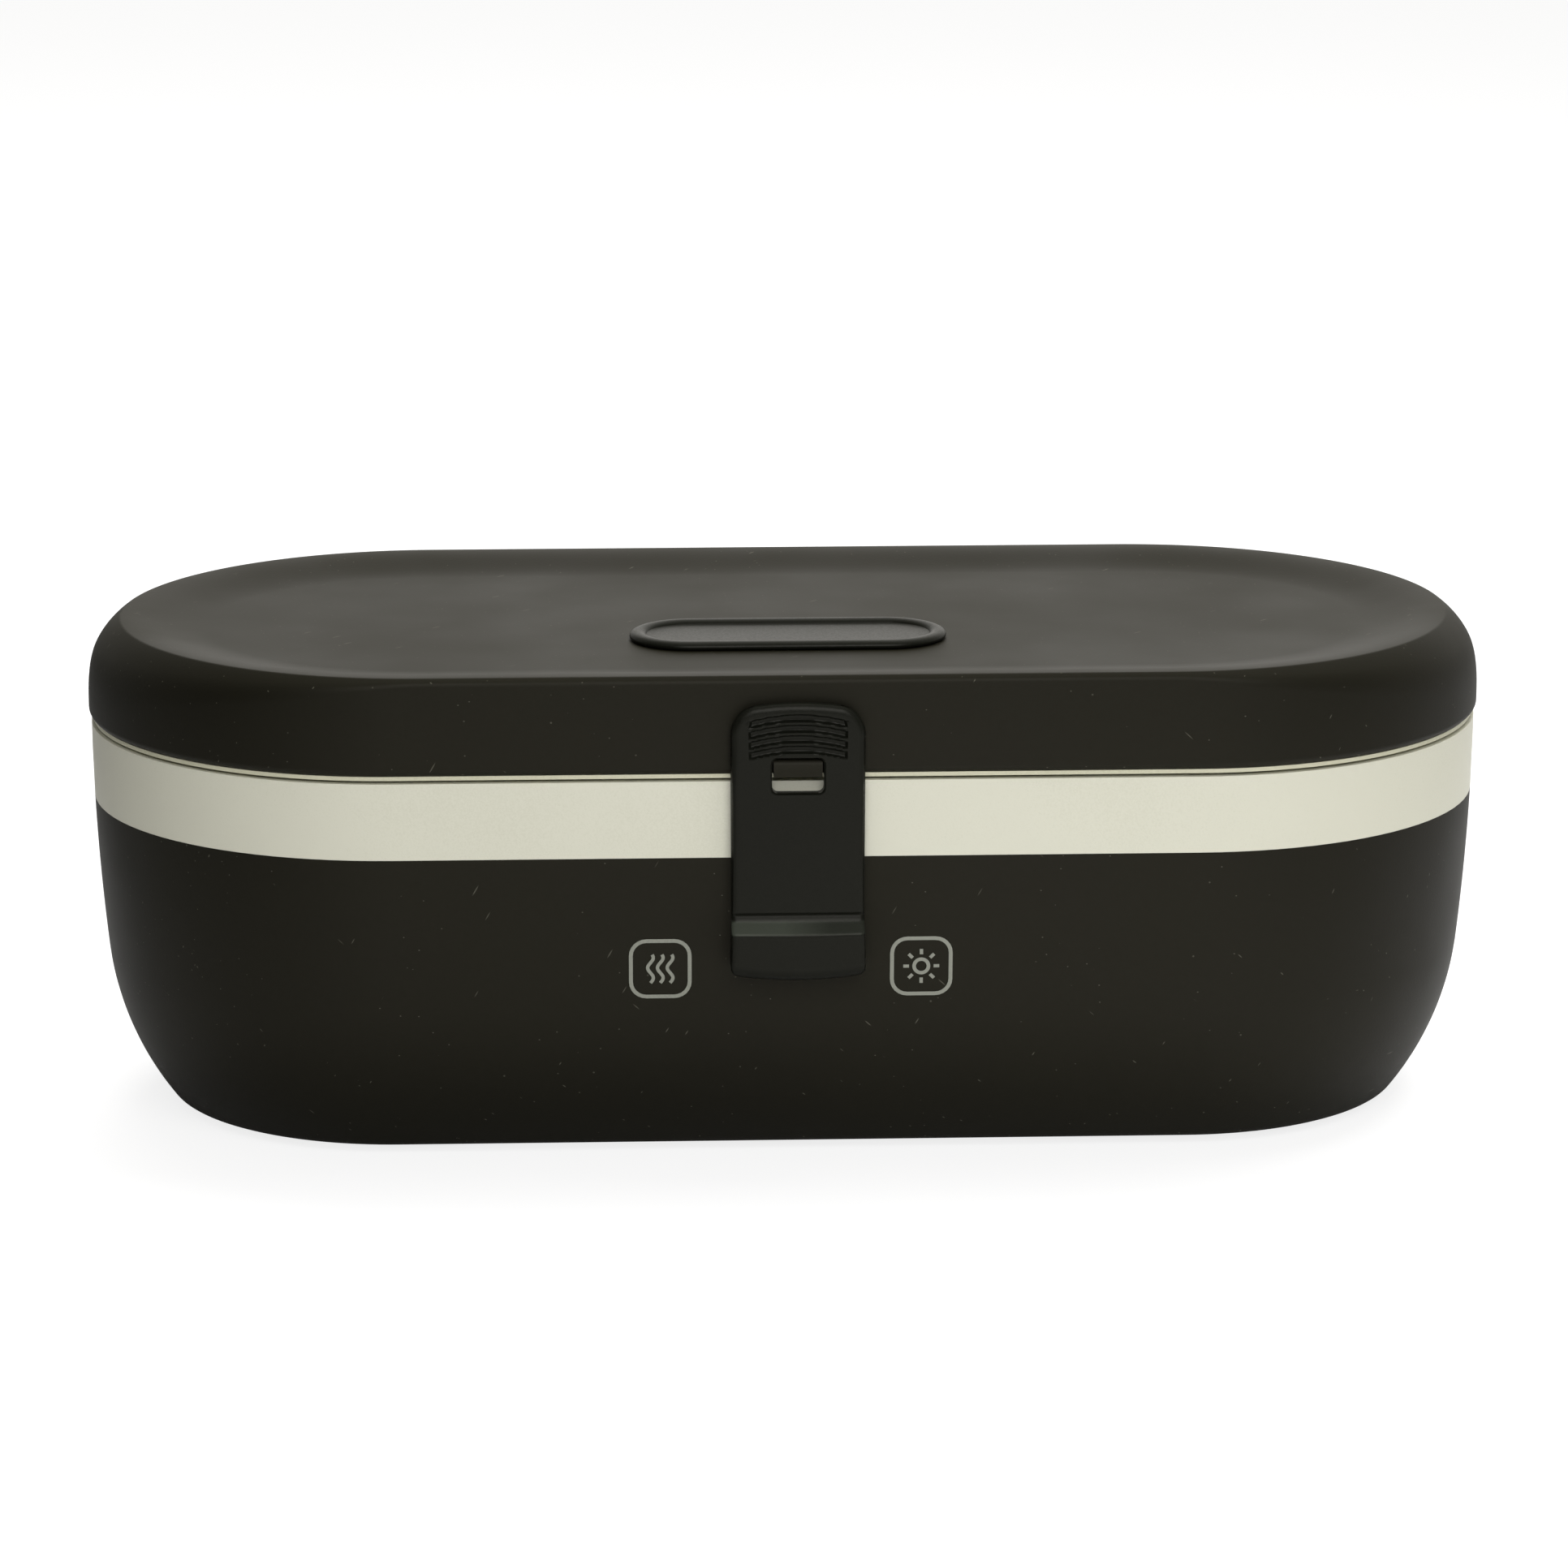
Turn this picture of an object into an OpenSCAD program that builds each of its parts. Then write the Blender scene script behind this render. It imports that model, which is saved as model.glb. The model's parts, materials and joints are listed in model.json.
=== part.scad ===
// Electric lunch box, pill-shaped, with a hinged lid, a front latch and a lift-up vent cover.
// Units are millimetres. The origin is on the table under the middle of the case.
// The front faces -Y, the hinge is at +Y and the long way of the case is X.

/* [Case] */
// Overall length at the lid
case_l = 280; // [264:1:310]
// Overall depth at the lid
case_d = 124; // [120:1:134]
// Height that the rubber feet lift the shell off the table
foot_h = 1.5; // [1:0.1:2.5]
// Height of the lower shell
shell_h = 62; // [60:0.5:68]
// Height of the pale band above the lower shell
band_h = 15.2; // [14:0.2:19]
// Gap between the band and the closed lid
lid_gap = 1.4; // [1.2:0.1:2]
// Height of the lid from its lower edge to its ridge
lid_h = 19.9; // [19:0.1:23]

/* [Outer wall] */
// Thickness of the moulded walls
wall_t = 2.5; // [2:0.1:2.8]
// Thickness of the floor of the lower shell
floor_t = 2.5; // [2.2:0.1:3.2]
// How far the top of the band stands inside the lid outline
rim_inset = 0.5; // [0.3:0.1:0.9]
// Radius of the gentle upper bow of the wall
bow_r = 460; // [420:5:560]
// Radius of the tighter curve near the table
toe_r = 60; // [56:1:66]
// Height in the shell at which the tighter curve starts
toe_z = 31; // [28:0.5:34]

/* [Lid] */
// Rounding of the lower edge of the lid
lid_edge_r = 1.5; // [1:0.1:2]
// How much shorter the ridge is than the lid, at each end
ridge_back = 5.5; // [4:0.1:7]
// Radius of the shoulder at the lid ends
shoulder_r = 16; // [14:0.5:18]
// Drop from the ridge to the start of the shoulder
shoulder_drop = 13.8; // [12.5:0.1:14]
// Radius of the ridge round the dished top
ridge_r = 2; // [1.5:0.1:2.4]
// Depth of the dished top below the ridge
dish_drop = 3; // [2.4:0.1:3.4]
// Radius of the slope from the ridge down to the dish
dish_r = 20; // [16:1:24]
// Height of the inner ceiling of the lid above its lower edge
liner_rise = 5.9; // [5.2:0.1:6.4]
// Thickness of the pale lid liner
liner_t = 2; // [1.6:0.1:2.2]
// How far the edge of the liner shows below the lid
liner_show = 0.8; // [0.6:0.1:0.9]
// How far the edge of the liner stands inside the lid outline
liner_inset = 0.9; // [0.7:0.1:1.2]

/* [Well and tray] */
// Width of the flat rim on top of the band
rim_w = 4; // [3.6:0.1:4.2]
// Drop from the rim to the ledge that carries the tray
ledge_drop = 2.5; // [2.2:0.1:2.8]
// Width of the ledge that carries the tray
ledge_w = 4.5; // [4.2:0.1:4.8]
// Thickness of the wall of the well
well_t = 1.8; // [1.5:0.1:2]
// How much the well narrows from top to bottom
well_draft = 2; // [1.6:0.1:2.6]
// Height of the floor of the well above the table
well_floor_z = 26; // [25.6:0.1:27]
// Thickness of the floor of the well
well_floor_t = 2; // [1.6:0.1:2.4]
// Gap round the tray in the well
tray_gap = 1; // [0.7:0.1:1.3]
// Thickness of the pressed steel of the tray
tray_t = 0.8; // [0.6:0.1:1]
// Outer radius of the lower corner of the tray
tray_r = 7; // [5:0.5:9]
// Place of the divider to the right of the middle
divider_x = 38; // [10:1:60]
// Thickness of the divider
divider_t = 1.6; // [1.2:0.1:2.4]

/* [Heater] */
// Distance of the heater plate edge inside the foot of the well
plate_edge = 9.5; // [8.5:0.1:10.5]
// Thickness of the heater plate
plate_t = 2; // [1.6:0.1:2.4]
// Width of the seal under the plate edge
seal_w = 3; // [2.6:0.1:3.4]
// Thickness of the seal under the plate edge
seal_t = 0.8; // [0.6:0.1:1]
// Length of each heater block
ptc_l = 60; // [50:1:64]
// Depth of each heater block, front to back
ptc_d = 30; // [24:1:34]
// Height of each heater block
ptc_h = 6; // [5:0.1:6.4]
// Distance of the heater blocks from the middle
ptc_x = 45; // [40:1:48]
// Width of the clamp strap
strap_w = 14; // [10:1:18]
// Thickness of the clamp strap
strap_t = 1.2; // [1:0.1:1.4]
// Radius of the bosses under the plate
boss_r = 3.5; // [3.2:0.1:4]
// Radius of the thermostat cap
thermostat_r = 8; // [7:0.1:9]
// Thickness of the insulation mat on the shell floor
mat_t = 4; // [3:0.1:5]

/* [Latch] */
// Width of the latch at its top
latch_w = 26.2; // [24:0.1:30]
// How far the latch narrows at mid height, on each side
latch_waist = 0.4; // [0.2:0.05:0.8]
// Thickness of the latch plate
latch_t = 2.5; // [2:0.1:3]
// Running gap between the latch and the lid
latch_gap = 0.4; // [0.3:0.05:0.6]
// Distance of the latch top below the ridge
latch_drop = 5.5; // [4.5:0.1:7]
// Height of the latch pivot above the shell floor
latch_pivot_z = 41.3; // [40:0.1:44]
// Distance of the latch pivot outside the lid outline
latch_pivot_out = 1.9; // [1.8:0.05:2.2]
// Radius of the barrel at the foot of the latch
latch_barrel_r = 3.2; // [3:0.05:3.4]
// Length of the thick foot of the latch above its pivot
latch_foot_h = 6.5; // [5:0.1:9]
// Width of the window in the latch
window_w = 10; // [8:0.1:12]
// Height of the window in the latch
window_h = 6.9; // [6:0.1:8]
// Height of the catch nub on the lid
nub_h = 3.4; // [3:0.1:4]
// Number of grip grooves
grip_count = 4; // [3:1:5]
// Spacing of the grip grooves
grip_pitch = 1.95; // [1.6:0.05:2.2]

/* [Lid hinge] */
// Distance of the hinge axis behind the lid outline
hinge_out = 3.5; // [3.4:0.1:4.5]
// Drop of the hinge axis below the rim of the band
hinge_drop = 0.2; // [0:0.1:1]
// Radius of the hinge barrels
barrel_r = 3; // [2.7:0.05:3.1]
// Length of the middle barrel, on the lid
lid_barrel_l = 40; // [30:1:50]
// Length of each outer barrel, on the band
band_barrel_l = 15; // [10:1:20]
// Radius of the hinge pin
hinge_pin_r = 1.5; // [1.2:0.1:1.6]

/* [Vent cover] */
// Length of the vent cover
vent_l = 63; // [56:1:70]
// Depth of the vent cover, front to back
vent_d = 24; // [20:0.5:27]
// Height of the cover above the dish
vent_h = 1.5; // [1.4:0.1:2]
// Width of the raised bead round the cover
vent_bead = 2.6; // [2:0.1:3.4]
// Depth of the panel inside the bead
vent_panel_drop = 0.6; // [0.4:0.1:0.8]
// Distance of the cover's middle in front of the lid's middle
vent_front = 17; // [15:0.5:19]
// Radius of the hinge knuckles of the cover
vent_knuckle_r = 1; // [0.9:0.05:1.1]
// Radius of the hinge pin of the cover
vent_pin_r = 0.5; // [0.4:0.05:0.55]
// Radius of each steam hole
steam_r = 1.5; // [1:0.1:2]

/* [Touch keys] */
// Width of a key outline
key_w = 11.8; // [10:0.1:13]
// Width of the lit line of a key outline
key_line = 0.8; // [0.6:0.1:1.2]
// Corner radius of a key outline
key_r = 2.9; // [2:0.1:3.5]
// Height of the keys above the shell floor
key_z = 39.5; // [38:0.5:41]
// Spacing of the two keys
key_pitch = 50.7; // [46:0.1:56]
// Distance of the keys' middle to the left of the latch
key_shift = 1.2; // [0:0.1:2]

/* [Power inlet] */
// Width of the socket opening
socket_w = 16.4; // [16:0.1:17]
// Height of the socket opening
socket_h = 7.4; // [7.2:0.1:7.8]
// Depth of the socket
socket_depth = 11; // [10:0.5:12]
// Wall round the socket
socket_wall = 1.5; // [1.2:0.1:1.7]
// Height of the socket's middle above the shell floor
socket_z = 14; // [13.6:0.1:14.4]
// Spacing of the contact pins
pin_pitch = 8.6; // [8.2:0.1:9]
// Radius of a contact pin
pin_r = 1.2; // [1:0.05:1.3]

/* [Screws and feet] */
// Radius of the screw shanks
screw_r = 1.5; // [1.3:0.1:1.6]
// Radius of the screw heads
head_r = 2.8; // [2.5:0.1:3]
// Radius of the posts that take the screws
post_r = 3.5; // [3.2:0.1:4]
// Radius of the rubber feet
foot_r = 7; // [5:0.5:8]

/* [Clearances] */
// Gap between pieces that move past each other
run_gap = 0.3; // [0.25:0.05:0.4]
// Gap round pieces that locate in one another
fit_gap = 0.2; // [0.15:0.05:0.3]
// Gap round pins and screws
pin_gap = 0.1; // [0.08:0.02:0.15]

/* [Hidden] */
$fn = 96;
bow_fn = 360;
cut = 1;

dark = "#26251f";
pale = "#d2d1bf";
latch_dark = "#232528";
steel = "#b9bbbd";
brass = "#c8a24a";
alloy = "#a9abae";
board_green = "#1f6b4a";

// Levels
z_shell = foot_h;
z_band = z_shell + shell_h;
z_rim = z_band + band_h;
z_lid = z_rim + lid_gap;
z_top = z_lid + lid_h;
z_floor = z_shell + floor_t;
z_ledge = z_rim - ledge_drop;
z_dish = z_top - dish_drop;
z_ceiling = z_dish - wall_t;
z_liner = z_lid + liner_rise;
z_strip = z_lid - liner_show;

// Plan: half depth and half the distance between the centres of the two round ends
half_d = case_d / 2;
end_x = (case_l - case_d) / 2;

// Bowed wall: an upper arc that is upright at the rim and a lower one that stands out by toe_out,
// so that the two cross at a clear angle just below toe_top
toe_out = 0.05;
bow_x = half_d - rim_inset - bow_r;
toe_top = z_shell + toe_z;
toe_a = asin((z_rim - toe_top) / bow_r);
toe_cx = bow_x + (bow_r - toe_r) * cos(toe_a) + toe_out;
toe_cz = z_rim - (bow_r - toe_r) * sin(toe_a);

function arc_x(cx, cz, r, z) = cx + sqrt(pow(r, 2) - pow(z - cz, 2));
function wall_x(z, inset) = z > toe_top
    ? arc_x(bow_x, z_rim, bow_r - inset, z)
    : min(arc_x(bow_x, z_rim, bow_r - inset, z), arc_x(toe_cx, toe_cz, toe_r - inset, z));

// Band, rim, ledge and well
lip_t = 1.5;
lip_h = 4;
band_t = wall_t + fit_gap + lip_t;
rim_in = half_d - rim_inset - rim_w;
well_in = rim_in - ledge_w;
well_foot_in = well_in - well_draft;

// Tray
tray_top_in = well_in - tray_gap - tray_t;
tray_flange = rim_in - 2 * fit_gap - 0.6;
z_tray_flange = z_ledge + tray_t;
z_divider = z_tray_flange - 5;
notch_r = 18;
notch_d = 7;

// Heater
plate_x = well_foot_in - plate_edge;
rebate_d = 1;
seal_edge = 0.5;
z_seal = well_floor_z - rebate_d;
z_plate = z_seal + seal_t;
z_plate_top = z_plate + plate_t;
z_strap = z_plate - ptc_h;
z_tray = z_plate_top + run_gap;
boss_gap = 6;
boss_y = ptc_d / 2 + boss_r + boss_gap;
tab_l = 6;
tab_t = 0.8;
thermostat_h = 9;
thermostat_cap_h = 3;
mat_l = 2 * ptc_x + ptc_l - 10;
mat_d = 2 * ptc_d;
mat_r = 8;

// Posts and screws
post_at = plate_x + 0.5;
post_xy = [end_x + post_at * cos(45), post_at * sin(45)];
z_boss = z_floor + 5;
head_h = 2;
screw_grip = 8;
small_screw_r = 1.25;
small_head_h = 1.6;
small_head_r = 2.5;
small_grip = 4;
foot_y = 30;
foot_sink = 1;
foot_edge = 0.4;
post_skirt = 0.8;
head_sink = 1;

// Lid
shoulder_x = half_d + ridge_back + fit_gap - shoulder_r;
shoulder_z = z_top - shoulder_drop;
ridge_z = z_top - ridge_r;
ridge_x = shoulder_x + sqrt(pow(shoulder_r - ridge_r, 2) - pow(ridge_z - shoulder_z, 2));
ridge_out = shoulder_x + (ridge_x - shoulder_x) * shoulder_r / (shoulder_r - ridge_r);
dish_cz = z_dish + dish_r;
dish_x = ridge_x - sqrt(pow(dish_r + ridge_r, 2) - pow(dish_cz - ridge_z, 2));
ridge_in = ridge_x + (dish_x - ridge_x) * ridge_r / (dish_r + ridge_r);
top_end_x = end_x - ridge_back;
lid_in = half_d - wall_t;
liner_in = lid_in - fit_gap;
liner_wall = 2;

// Gasket
gasket_w = 4;
gasket_mid = rim_in - 3;
z_gasket_seat = z_lid + 0.5;
z_gasket = z_tray_flange + run_gap;
gasket_tongue_w = 1.6;
gasket_tongue_h = 2;
seat_edge = 1.5;
seat_t = 1.2;

// Hinges
hinge_y = half_d + hinge_out;
hinge_z = z_rim - hinge_drop;
hinge_w = lid_barrel_l + 2 * run_gap + 2 * band_barrel_l;
web_h = 8;
web_edge = 2;
web_share = 0.85;
pivot_y = -(half_d + latch_pivot_out);
pivot_z = z_shell + latch_pivot_z;
latch_pin_r = 1;
latch_pin_l = latch_w - 2 * latch_waist - 2;
lug_r = 2;
lug_w = 14;
lug_web_t = 2;
vent_y = -vent_front;
vent_axis_y = vent_y + vent_d / 2 + vent_knuckle_r + run_gap;
vent_axis_z = z_dish + 0.1;
vent_knuckle_l = 27;
vent_lug_l = 3;
vent_arm_l = 2 * vent_knuckle_r + run_gap;

// Latch
latch_back = -(half_d + latch_gap);
latch_face = latch_back - latch_t;
latch_top = z_top - latch_drop;
latch_foot = pivot_z - latch_barrel_r;
window_top = z_lid + nub_h + run_gap;
window_r = 1.2;
corner_r = 4.5;
crown_r = 50;
latch_round = 1.2;
foot_in = 0.15;
foot_slope = 2;
seam_up = 1.3;
seam_w = 1;
seam_d = 0.4;
grip_r = 46;
grip_w = 0.71 * latch_w;
grip_line = 0.9;
grip_depth = 0.5;
grip_drop = 2.4;
nub_slope = 0.8;
nub_chin = 0.9;

// Power inlet
inlet_y = half_d - 12;
inlet_z = z_shell + socket_z;
inlet_w = socket_w + 2 * socket_wall;
inlet_h = socket_h + 2 * socket_wall;
flange_w = inlet_w + 2;
flange_h = inlet_h + 2;
inlet_flange_t = 1;
inlet_back = 5;
inlet_r = 2.8;
flange_r = inlet_r + 0.5;
pin_tail = 3;
pin_short = 2.5;
pin_tip = 0.8;
pin_l = pin_tail + inlet_back + socket_depth - pin_short;
pin_end_y = inlet_y + inlet_flange_t - socket_depth - inlet_back - pin_tail;

// Touch keys
key_x = [-key_shift - key_pitch / 2, -key_shift + key_pitch / 2];
z_key = z_shell + key_z;
key_depth = 1;
key_reach = 8;
touch_board_t = 1.2;
touch_board_h = 14;
touch_board_r = 1;
touch_board_y = -(wall_x(z_key - touch_board_h / 2, wall_t) - 2 * run_gap);
touch_reach = 12;
touch_chip_w = 6;
touch_chip_t = 0.8;
touch_chip_x = [key_x[0] / 3, key_x[1] / 3];
peg_r = 1.6;
peg_in = 3;
peg_up = 4.5;
leg_r = 0.7;

// Steam vent in the lid
plug_l = 36;
plug_d = 10;
plug_h = 1.6;
steam_pitch = 10;
lamp_y = 17;
lamp_l = 140;
lamp_d = 14;
lamp_stand = 2;
lamp_post_in = 10;
z_lamp = z_liner + liner_t + lamp_stand;
lamp_count = 5;
lamp_r = 1.75;
lamp_h = 1.2;
lamp_pitch = 22;
lid_post_at = shoulder_x - post_r - boss_gap;
lid_post_xy = [end_x + lid_post_at * sin(25), lid_post_at * cos(25)];
lens_lip = 1.5;
lens_half = (lamp_l - lamp_d) / 2;
plug_gap = 0.5;
plug_wall = 3;
vent_pin_l = vent_knuckle_l + 2 * fit_gap + 2 * vent_lug_l - 0.4;
fuse_r = 2.1;
fuse_l = 12;
fuse_wire_r = 0.5;
pad_r = 4;
touch_x0 = key_x[0] - touch_reach;
touch_x1 = key_x[1] + touch_reach;

// Control board on standoffs at the left end
board_t = 1.6;
board_l = 42;
board_d = 44;
board_x = -(end_x + 18);
z_board = z_floor + 7;
standoff_r = 2.5;
standoff_in = 4;
board_r = 2;
board_sink = 0.2;
board_parts = [
    [-6, -8, 16, 12, 9],
    [-6, 11, 12, 10, 8.5],
    [12, 8, 9, 16, 7],
    [10, -10, 9, 9, 1.6]
];

// Lamp supply: sprung pins in the rim and pads in the lid liner
contact_r = 0.8;
contact_l = 8;
contact_rise = 0.3;
contact_y = rim_in + 1.1;
contact_x = [hinge_w / 2 + 9, hinge_w / 2 + 17];
pad_contact_r = 1.1;
pad_contact_h = 0.5;

// Tray corner: the drafted wall runs on smoothly from the corner arc
draft_a = atan(well_draft / (z_ledge - well_floor_z));
tray_pz = z_tray + tray_r - tray_r * sin(draft_a);
tray_cx = tray_top_in + tray_t - tan(draft_a) * (z_tray_flange - tray_pz) - tray_r * cos(draft_a);

// Flat helpers, drawn with x outwards from the middle plane and y upwards
module block(x0, x1, z0, z1) {
    translate([x0, z0])
        square([x1 - x0, z1 - z0]);
}

// Region inside the bowed outer wall, set in by inset, between two heights
module wall_region(inset, z0, z1) {
    intersection() {
        translate([bow_x, z_rim])
            circle(bow_r - inset, $fn = bow_fn);
        union() {
            if (z1 > toe_top)
                block(0, half_d + cut, max(z0, toe_top), z1);
            if (z0 < toe_top)
                intersection() {
                    translate([toe_cx, toe_cz])
                        circle(toe_r - inset, $fn = bow_fn);
                    block(0, half_d + cut, z0, min(z1, toe_top));
                }
        }
    }
}

module disc_at(x, z, r) {
    translate([x, z])
        circle(r);
}

module pill_2d(l, d) {
    square([l - d, d], center = true);
    for (s = [-1, 1])
        translate([s * (l - d) / 2, 0])
            circle(d / 2);
}

module round_rect(w, h, r) {
    square([w - 2 * r, h], center = true);
    square([w, h - 2 * r], center = true);
    for (sx = [-1, 1], sz = [-1, 1])
        translate([sx * (w / 2 - r), sz * (h / 2 - r)])
            circle(r);
}

// Carries a flat section round a pill-shaped path: two half turns and two straights
module pill_sweep(half) {
    for (a = [0, 180])
        rotate(a)
            translate([half, 0, 0])
                rotate(-90)
                    rotate_extrude(angle = 180)
                        children();
    rotate([90, 0, 90])
        translate([0, 0, -half])
            linear_extrude(2 * half) {
                children();
                mirror([1, 0])
                    children();
            }
}

// Pill-shaped plate between two heights
module pill_plate(half, r, z0, z1) {
    translate([0, 0, z0])
        linear_extrude(z1 - z0)
            pill_2d(2 * (half + r), 2 * r);
}

// Extrudes a section drawn in y and z along x, centred
module along_x(l) {
    rotate([90, 0, 90])
        translate([0, 0, -l / 2])
            linear_extrude(l)
                children();
}

// Extrudes an outline drawn in x and z along y, from y0 to y1
module along_y(y0, y1) {
    translate([0, y1, 0])
        rotate([90, 0, 0])
            linear_extrude(y1 - y0)
                children();
}

module rod_x(r, l, y, z) {
    translate([-l / 2, y, z])
        rotate([0, 90, 0])
            cylinder(r = r, h = l);
}

module rod_z(r, x, y, z0, z1) {
    translate([x, y, z0])
        cylinder(r = r, h = z1 - z0);
}

module at_posts() {
    for (sx = [-1, 1], sy = [-1, 1])
        translate([sx * post_xy[0], sy * post_xy[1], 0])
            children();
}

module at_feet() {
    for (sx = [-1, 1], sy = [-1, 1])
        translate([sx * end_x, sy * foot_y, 0])
            children();
}

module at_straps() {
    for (sx = [-1, 1], sy = [-1, 1])
        translate([sx * ptc_x, sy * boss_y, 0])
            children();
}

module at_board_corners() {
    for (sx = [-1, 1], sy = [-1, 1])
        translate([board_x + sx * (board_l / 2 - standoff_in), sy * (board_d / 2 - standoff_in), 0])
            children();
}

module at_lid_posts() {
    for (sx = [-1, 1], sy = [-1, 1])
        translate([sx * lid_post_xy[0], sy * lid_post_xy[1], 0])
            children();
}

module at_lamp_posts() {
    for (s = [-1, 1])
        translate([s * (lamp_l / 2 - lamp_post_in), lamp_y, 0])
            children();
}

module at_steam() {
    for (i = [-1:1])
        translate([i * steam_pitch, vent_y, 0])
            children();
}

// Pins of the inlet, drawn along their length from the back end
module at_pins() {
    for (s = [-1, 1])
        translate([s * pin_pitch / 2, pin_end_y, inlet_z])
            rotate([-90, 0, 0])
                children();
}

// Lower shell: bowed bowl with screw bosses, key slots, latch lug and inlet pocket
module shell_bowl() {
    pill_sweep(end_x)
        difference() {
            wall_region(0, z_shell, z_band);
            wall_region(wall_t, z_floor, z_band + cut);
        }
}

// What stands on the floor inside the bowl, cut off where the wall curves in
module shell_bosses() {
    intersection() {
        union() {
            at_posts()
                rod_z(post_r + post_skirt, 0, 0, z_shell + cut, z_boss);
            at_board_corners()
                rod_z(standoff_r, 0, 0, z_shell + cut, z_board);
            inlet_surround();
        }
        pill_sweep(end_x)
            wall_region(wall_t / 4, z_shell + wall_t / 4, z_band);
    }
}

module inlet_surround() {
    along_y(inlet_y - wall_t, half_d)
        translate([0, inlet_z])
            square([flange_w + 2 * wall_t, flange_h + wall_t], center = true);
}

module inlet_pocket() {
    along_y(inlet_y, half_d + cut)
        translate([0, inlet_z])
            round_rect(flange_w + 2 * fit_gap, flange_h + 2 * fit_gap, flange_r + fit_gap);
    along_y(inlet_y - wall_t - cut, inlet_y + cut)
        translate([0, inlet_z])
            round_rect(inlet_w + 2 * fit_gap, inlet_h + 2 * fit_gap, inlet_r + fit_gap);
}

module latch_lug() {
    rod_x(lug_r, lug_w, pivot_y, pivot_z);
    along_x(lug_w)
        translate([pivot_y, pivot_z - lug_web_t / 2])
            square([-pivot_y - wall_x(pivot_z, wall_t / 2), lug_web_t]);
}

module key_outline(x, grow) {
    inner = key_w - 2 * key_line - 2 * grow;
    translate([x, z_key])
        difference() {
            round_rect(key_w + 2 * grow, key_w + 2 * grow, key_r + grow);
            round_rect(inner, inner, key_r - key_line - grow);
        }
}

// Ring of a key and its two light legs, with room all round when grow is above 0
module key_light(x, grow) {
    skin = grow > 0 ? -cut : 0;
    intersection() {
        along_y(-half_d - cut, -half_d + key_reach)
            key_outline(x, grow);
        along_x(2 * end_x)
            mirror([1, 0])
                difference() {
                    wall_region(skin, z_key - key_w, z_key + key_w);
                    wall_region(key_depth + grow, z_key - key_w - cut, z_key + key_w + cut);
                }
    }
    leg_y = wall_x(z_key, key_depth / 2);
    leg_end = grow > 0 ? wall_x(z_key, wall_t + cut) : -touch_board_y + pin_gap;
    for (s = [-1, 1])
        translate([x + s * (key_w - key_line) / 2, -leg_y, z_key])
            rotate([-90, 0, 0])
                cylinder(r = leg_r + grow, h = leg_y - leg_end);
}

// Pegs on the inside of the front wall that carry the touch board
module board_pegs() {
    for (x = [touch_x0 + peg_in, touch_x1 - peg_in], s = [-1, 1])
        translate([x, -wall_x(z_key, wall_t / 2), z_key + s * peg_up])
            rotate([-90, 0, 0])
                cylinder(r = peg_r, h = wall_x(z_key, wall_t / 2) + touch_board_y);
}

module lower_shell() {
    color(dark)
        difference() {
            union() {
                shell_bowl();
                shell_bosses();
                latch_lug();
                board_pegs();
            }
            inlet_pocket();
            rod_x(latch_pin_r + pin_gap, lug_w + cut, pivot_y, pivot_z);
            for (x = key_x)
                key_light(x, pin_gap);
            at_posts() {
                rod_z(screw_r + pin_gap, 0, 0, z_shell - cut, z_boss + cut);
                rod_z(head_r + fit_gap, 0, 0, z_shell - cut, z_shell + head_h + head_sink);
            }
            at_feet()
                rod_z(foot_r + fit_gap, 0, 0, z_shell - cut, z_shell + foot_sink);
        }
}

// Inner housing: pale band, rim, tray ledge and well in one moulding, with the rear hinge barrels
module housing_section() {
    difference() {
        wall_region(0, z_band, z_rim);
        block(0, rim_in, z_band - cut, z_rim + cut);
        wall_region(band_t, z_band - cut, z_ledge - well_floor_t);
    }
    difference() {
        wall_region(wall_t + fit_gap, z_band - lip_h, z_band + cut);
        wall_region(band_t, z_band - lip_h - cut, z_band + 2 * cut);
    }
    block(well_in, rim_in + rim_w / 4, z_ledge - well_floor_t, z_ledge);
    polygon([
        [well_in, z_ledge - cut],
        [well_in + well_t, z_ledge - cut],
        [well_foot_in + well_t, well_floor_z - well_floor_t],
        [well_foot_in, well_floor_z - well_floor_t]
    ]);
    difference() {
        block(plate_x - seal_w - seal_edge, well_foot_in + well_t / 2, well_floor_z - well_floor_t,
            well_floor_z);
        block(0, plate_x + fit_gap, z_seal, well_floor_z + cut);
    }
}

module band_knuckles() {
    for (s = [-1, 1])
        translate([s * (hinge_w - band_barrel_l) / 2, 0, 0]) {
            rod_x(barrel_r, band_barrel_l, hinge_y, hinge_z);
            along_x(band_barrel_l)
                polygon([
                    [half_d - barrel_r, z_band + web_edge],
                    [half_d - barrel_r, z_rim - web_edge],
                    [half_d, z_rim - web_edge / 2],
                    [hinge_y, hinge_z + barrel_r / 2],
                    [hinge_y + web_share * barrel_r, hinge_z - barrel_r / 2]
                ]);
        }
}

module inner_housing() {
    color(pale)
        difference() {
            union() {
                pill_sweep(end_x)
                    housing_section();
                band_knuckles();
                at_posts()
                    rod_z(post_r, 0, 0, z_boss, well_floor_z - well_floor_t / 2);
            }
            rod_x(hinge_pin_r + pin_gap, hinge_w + cut, hinge_y, hinge_z);
            at_posts()
                rod_z(screw_r + pin_gap, 0, 0, z_boss - cut, z_boss + screw_grip + cut);
            for (x = contact_x)
                rod_z(contact_r + pin_gap, x, contact_y, z_rim - contact_l, z_rim + cut);
        }
}

module rubber_feet() {
    color("#171717")
        at_feet()
            rotate_extrude()
                polygon([
                    [0, 0],
                    [foot_r - foot_edge, 0],
                    [foot_r, foot_edge],
                    [foot_r, z_shell + foot_sink],
                    [0, z_shell + foot_sink]
                ]);
}

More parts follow.
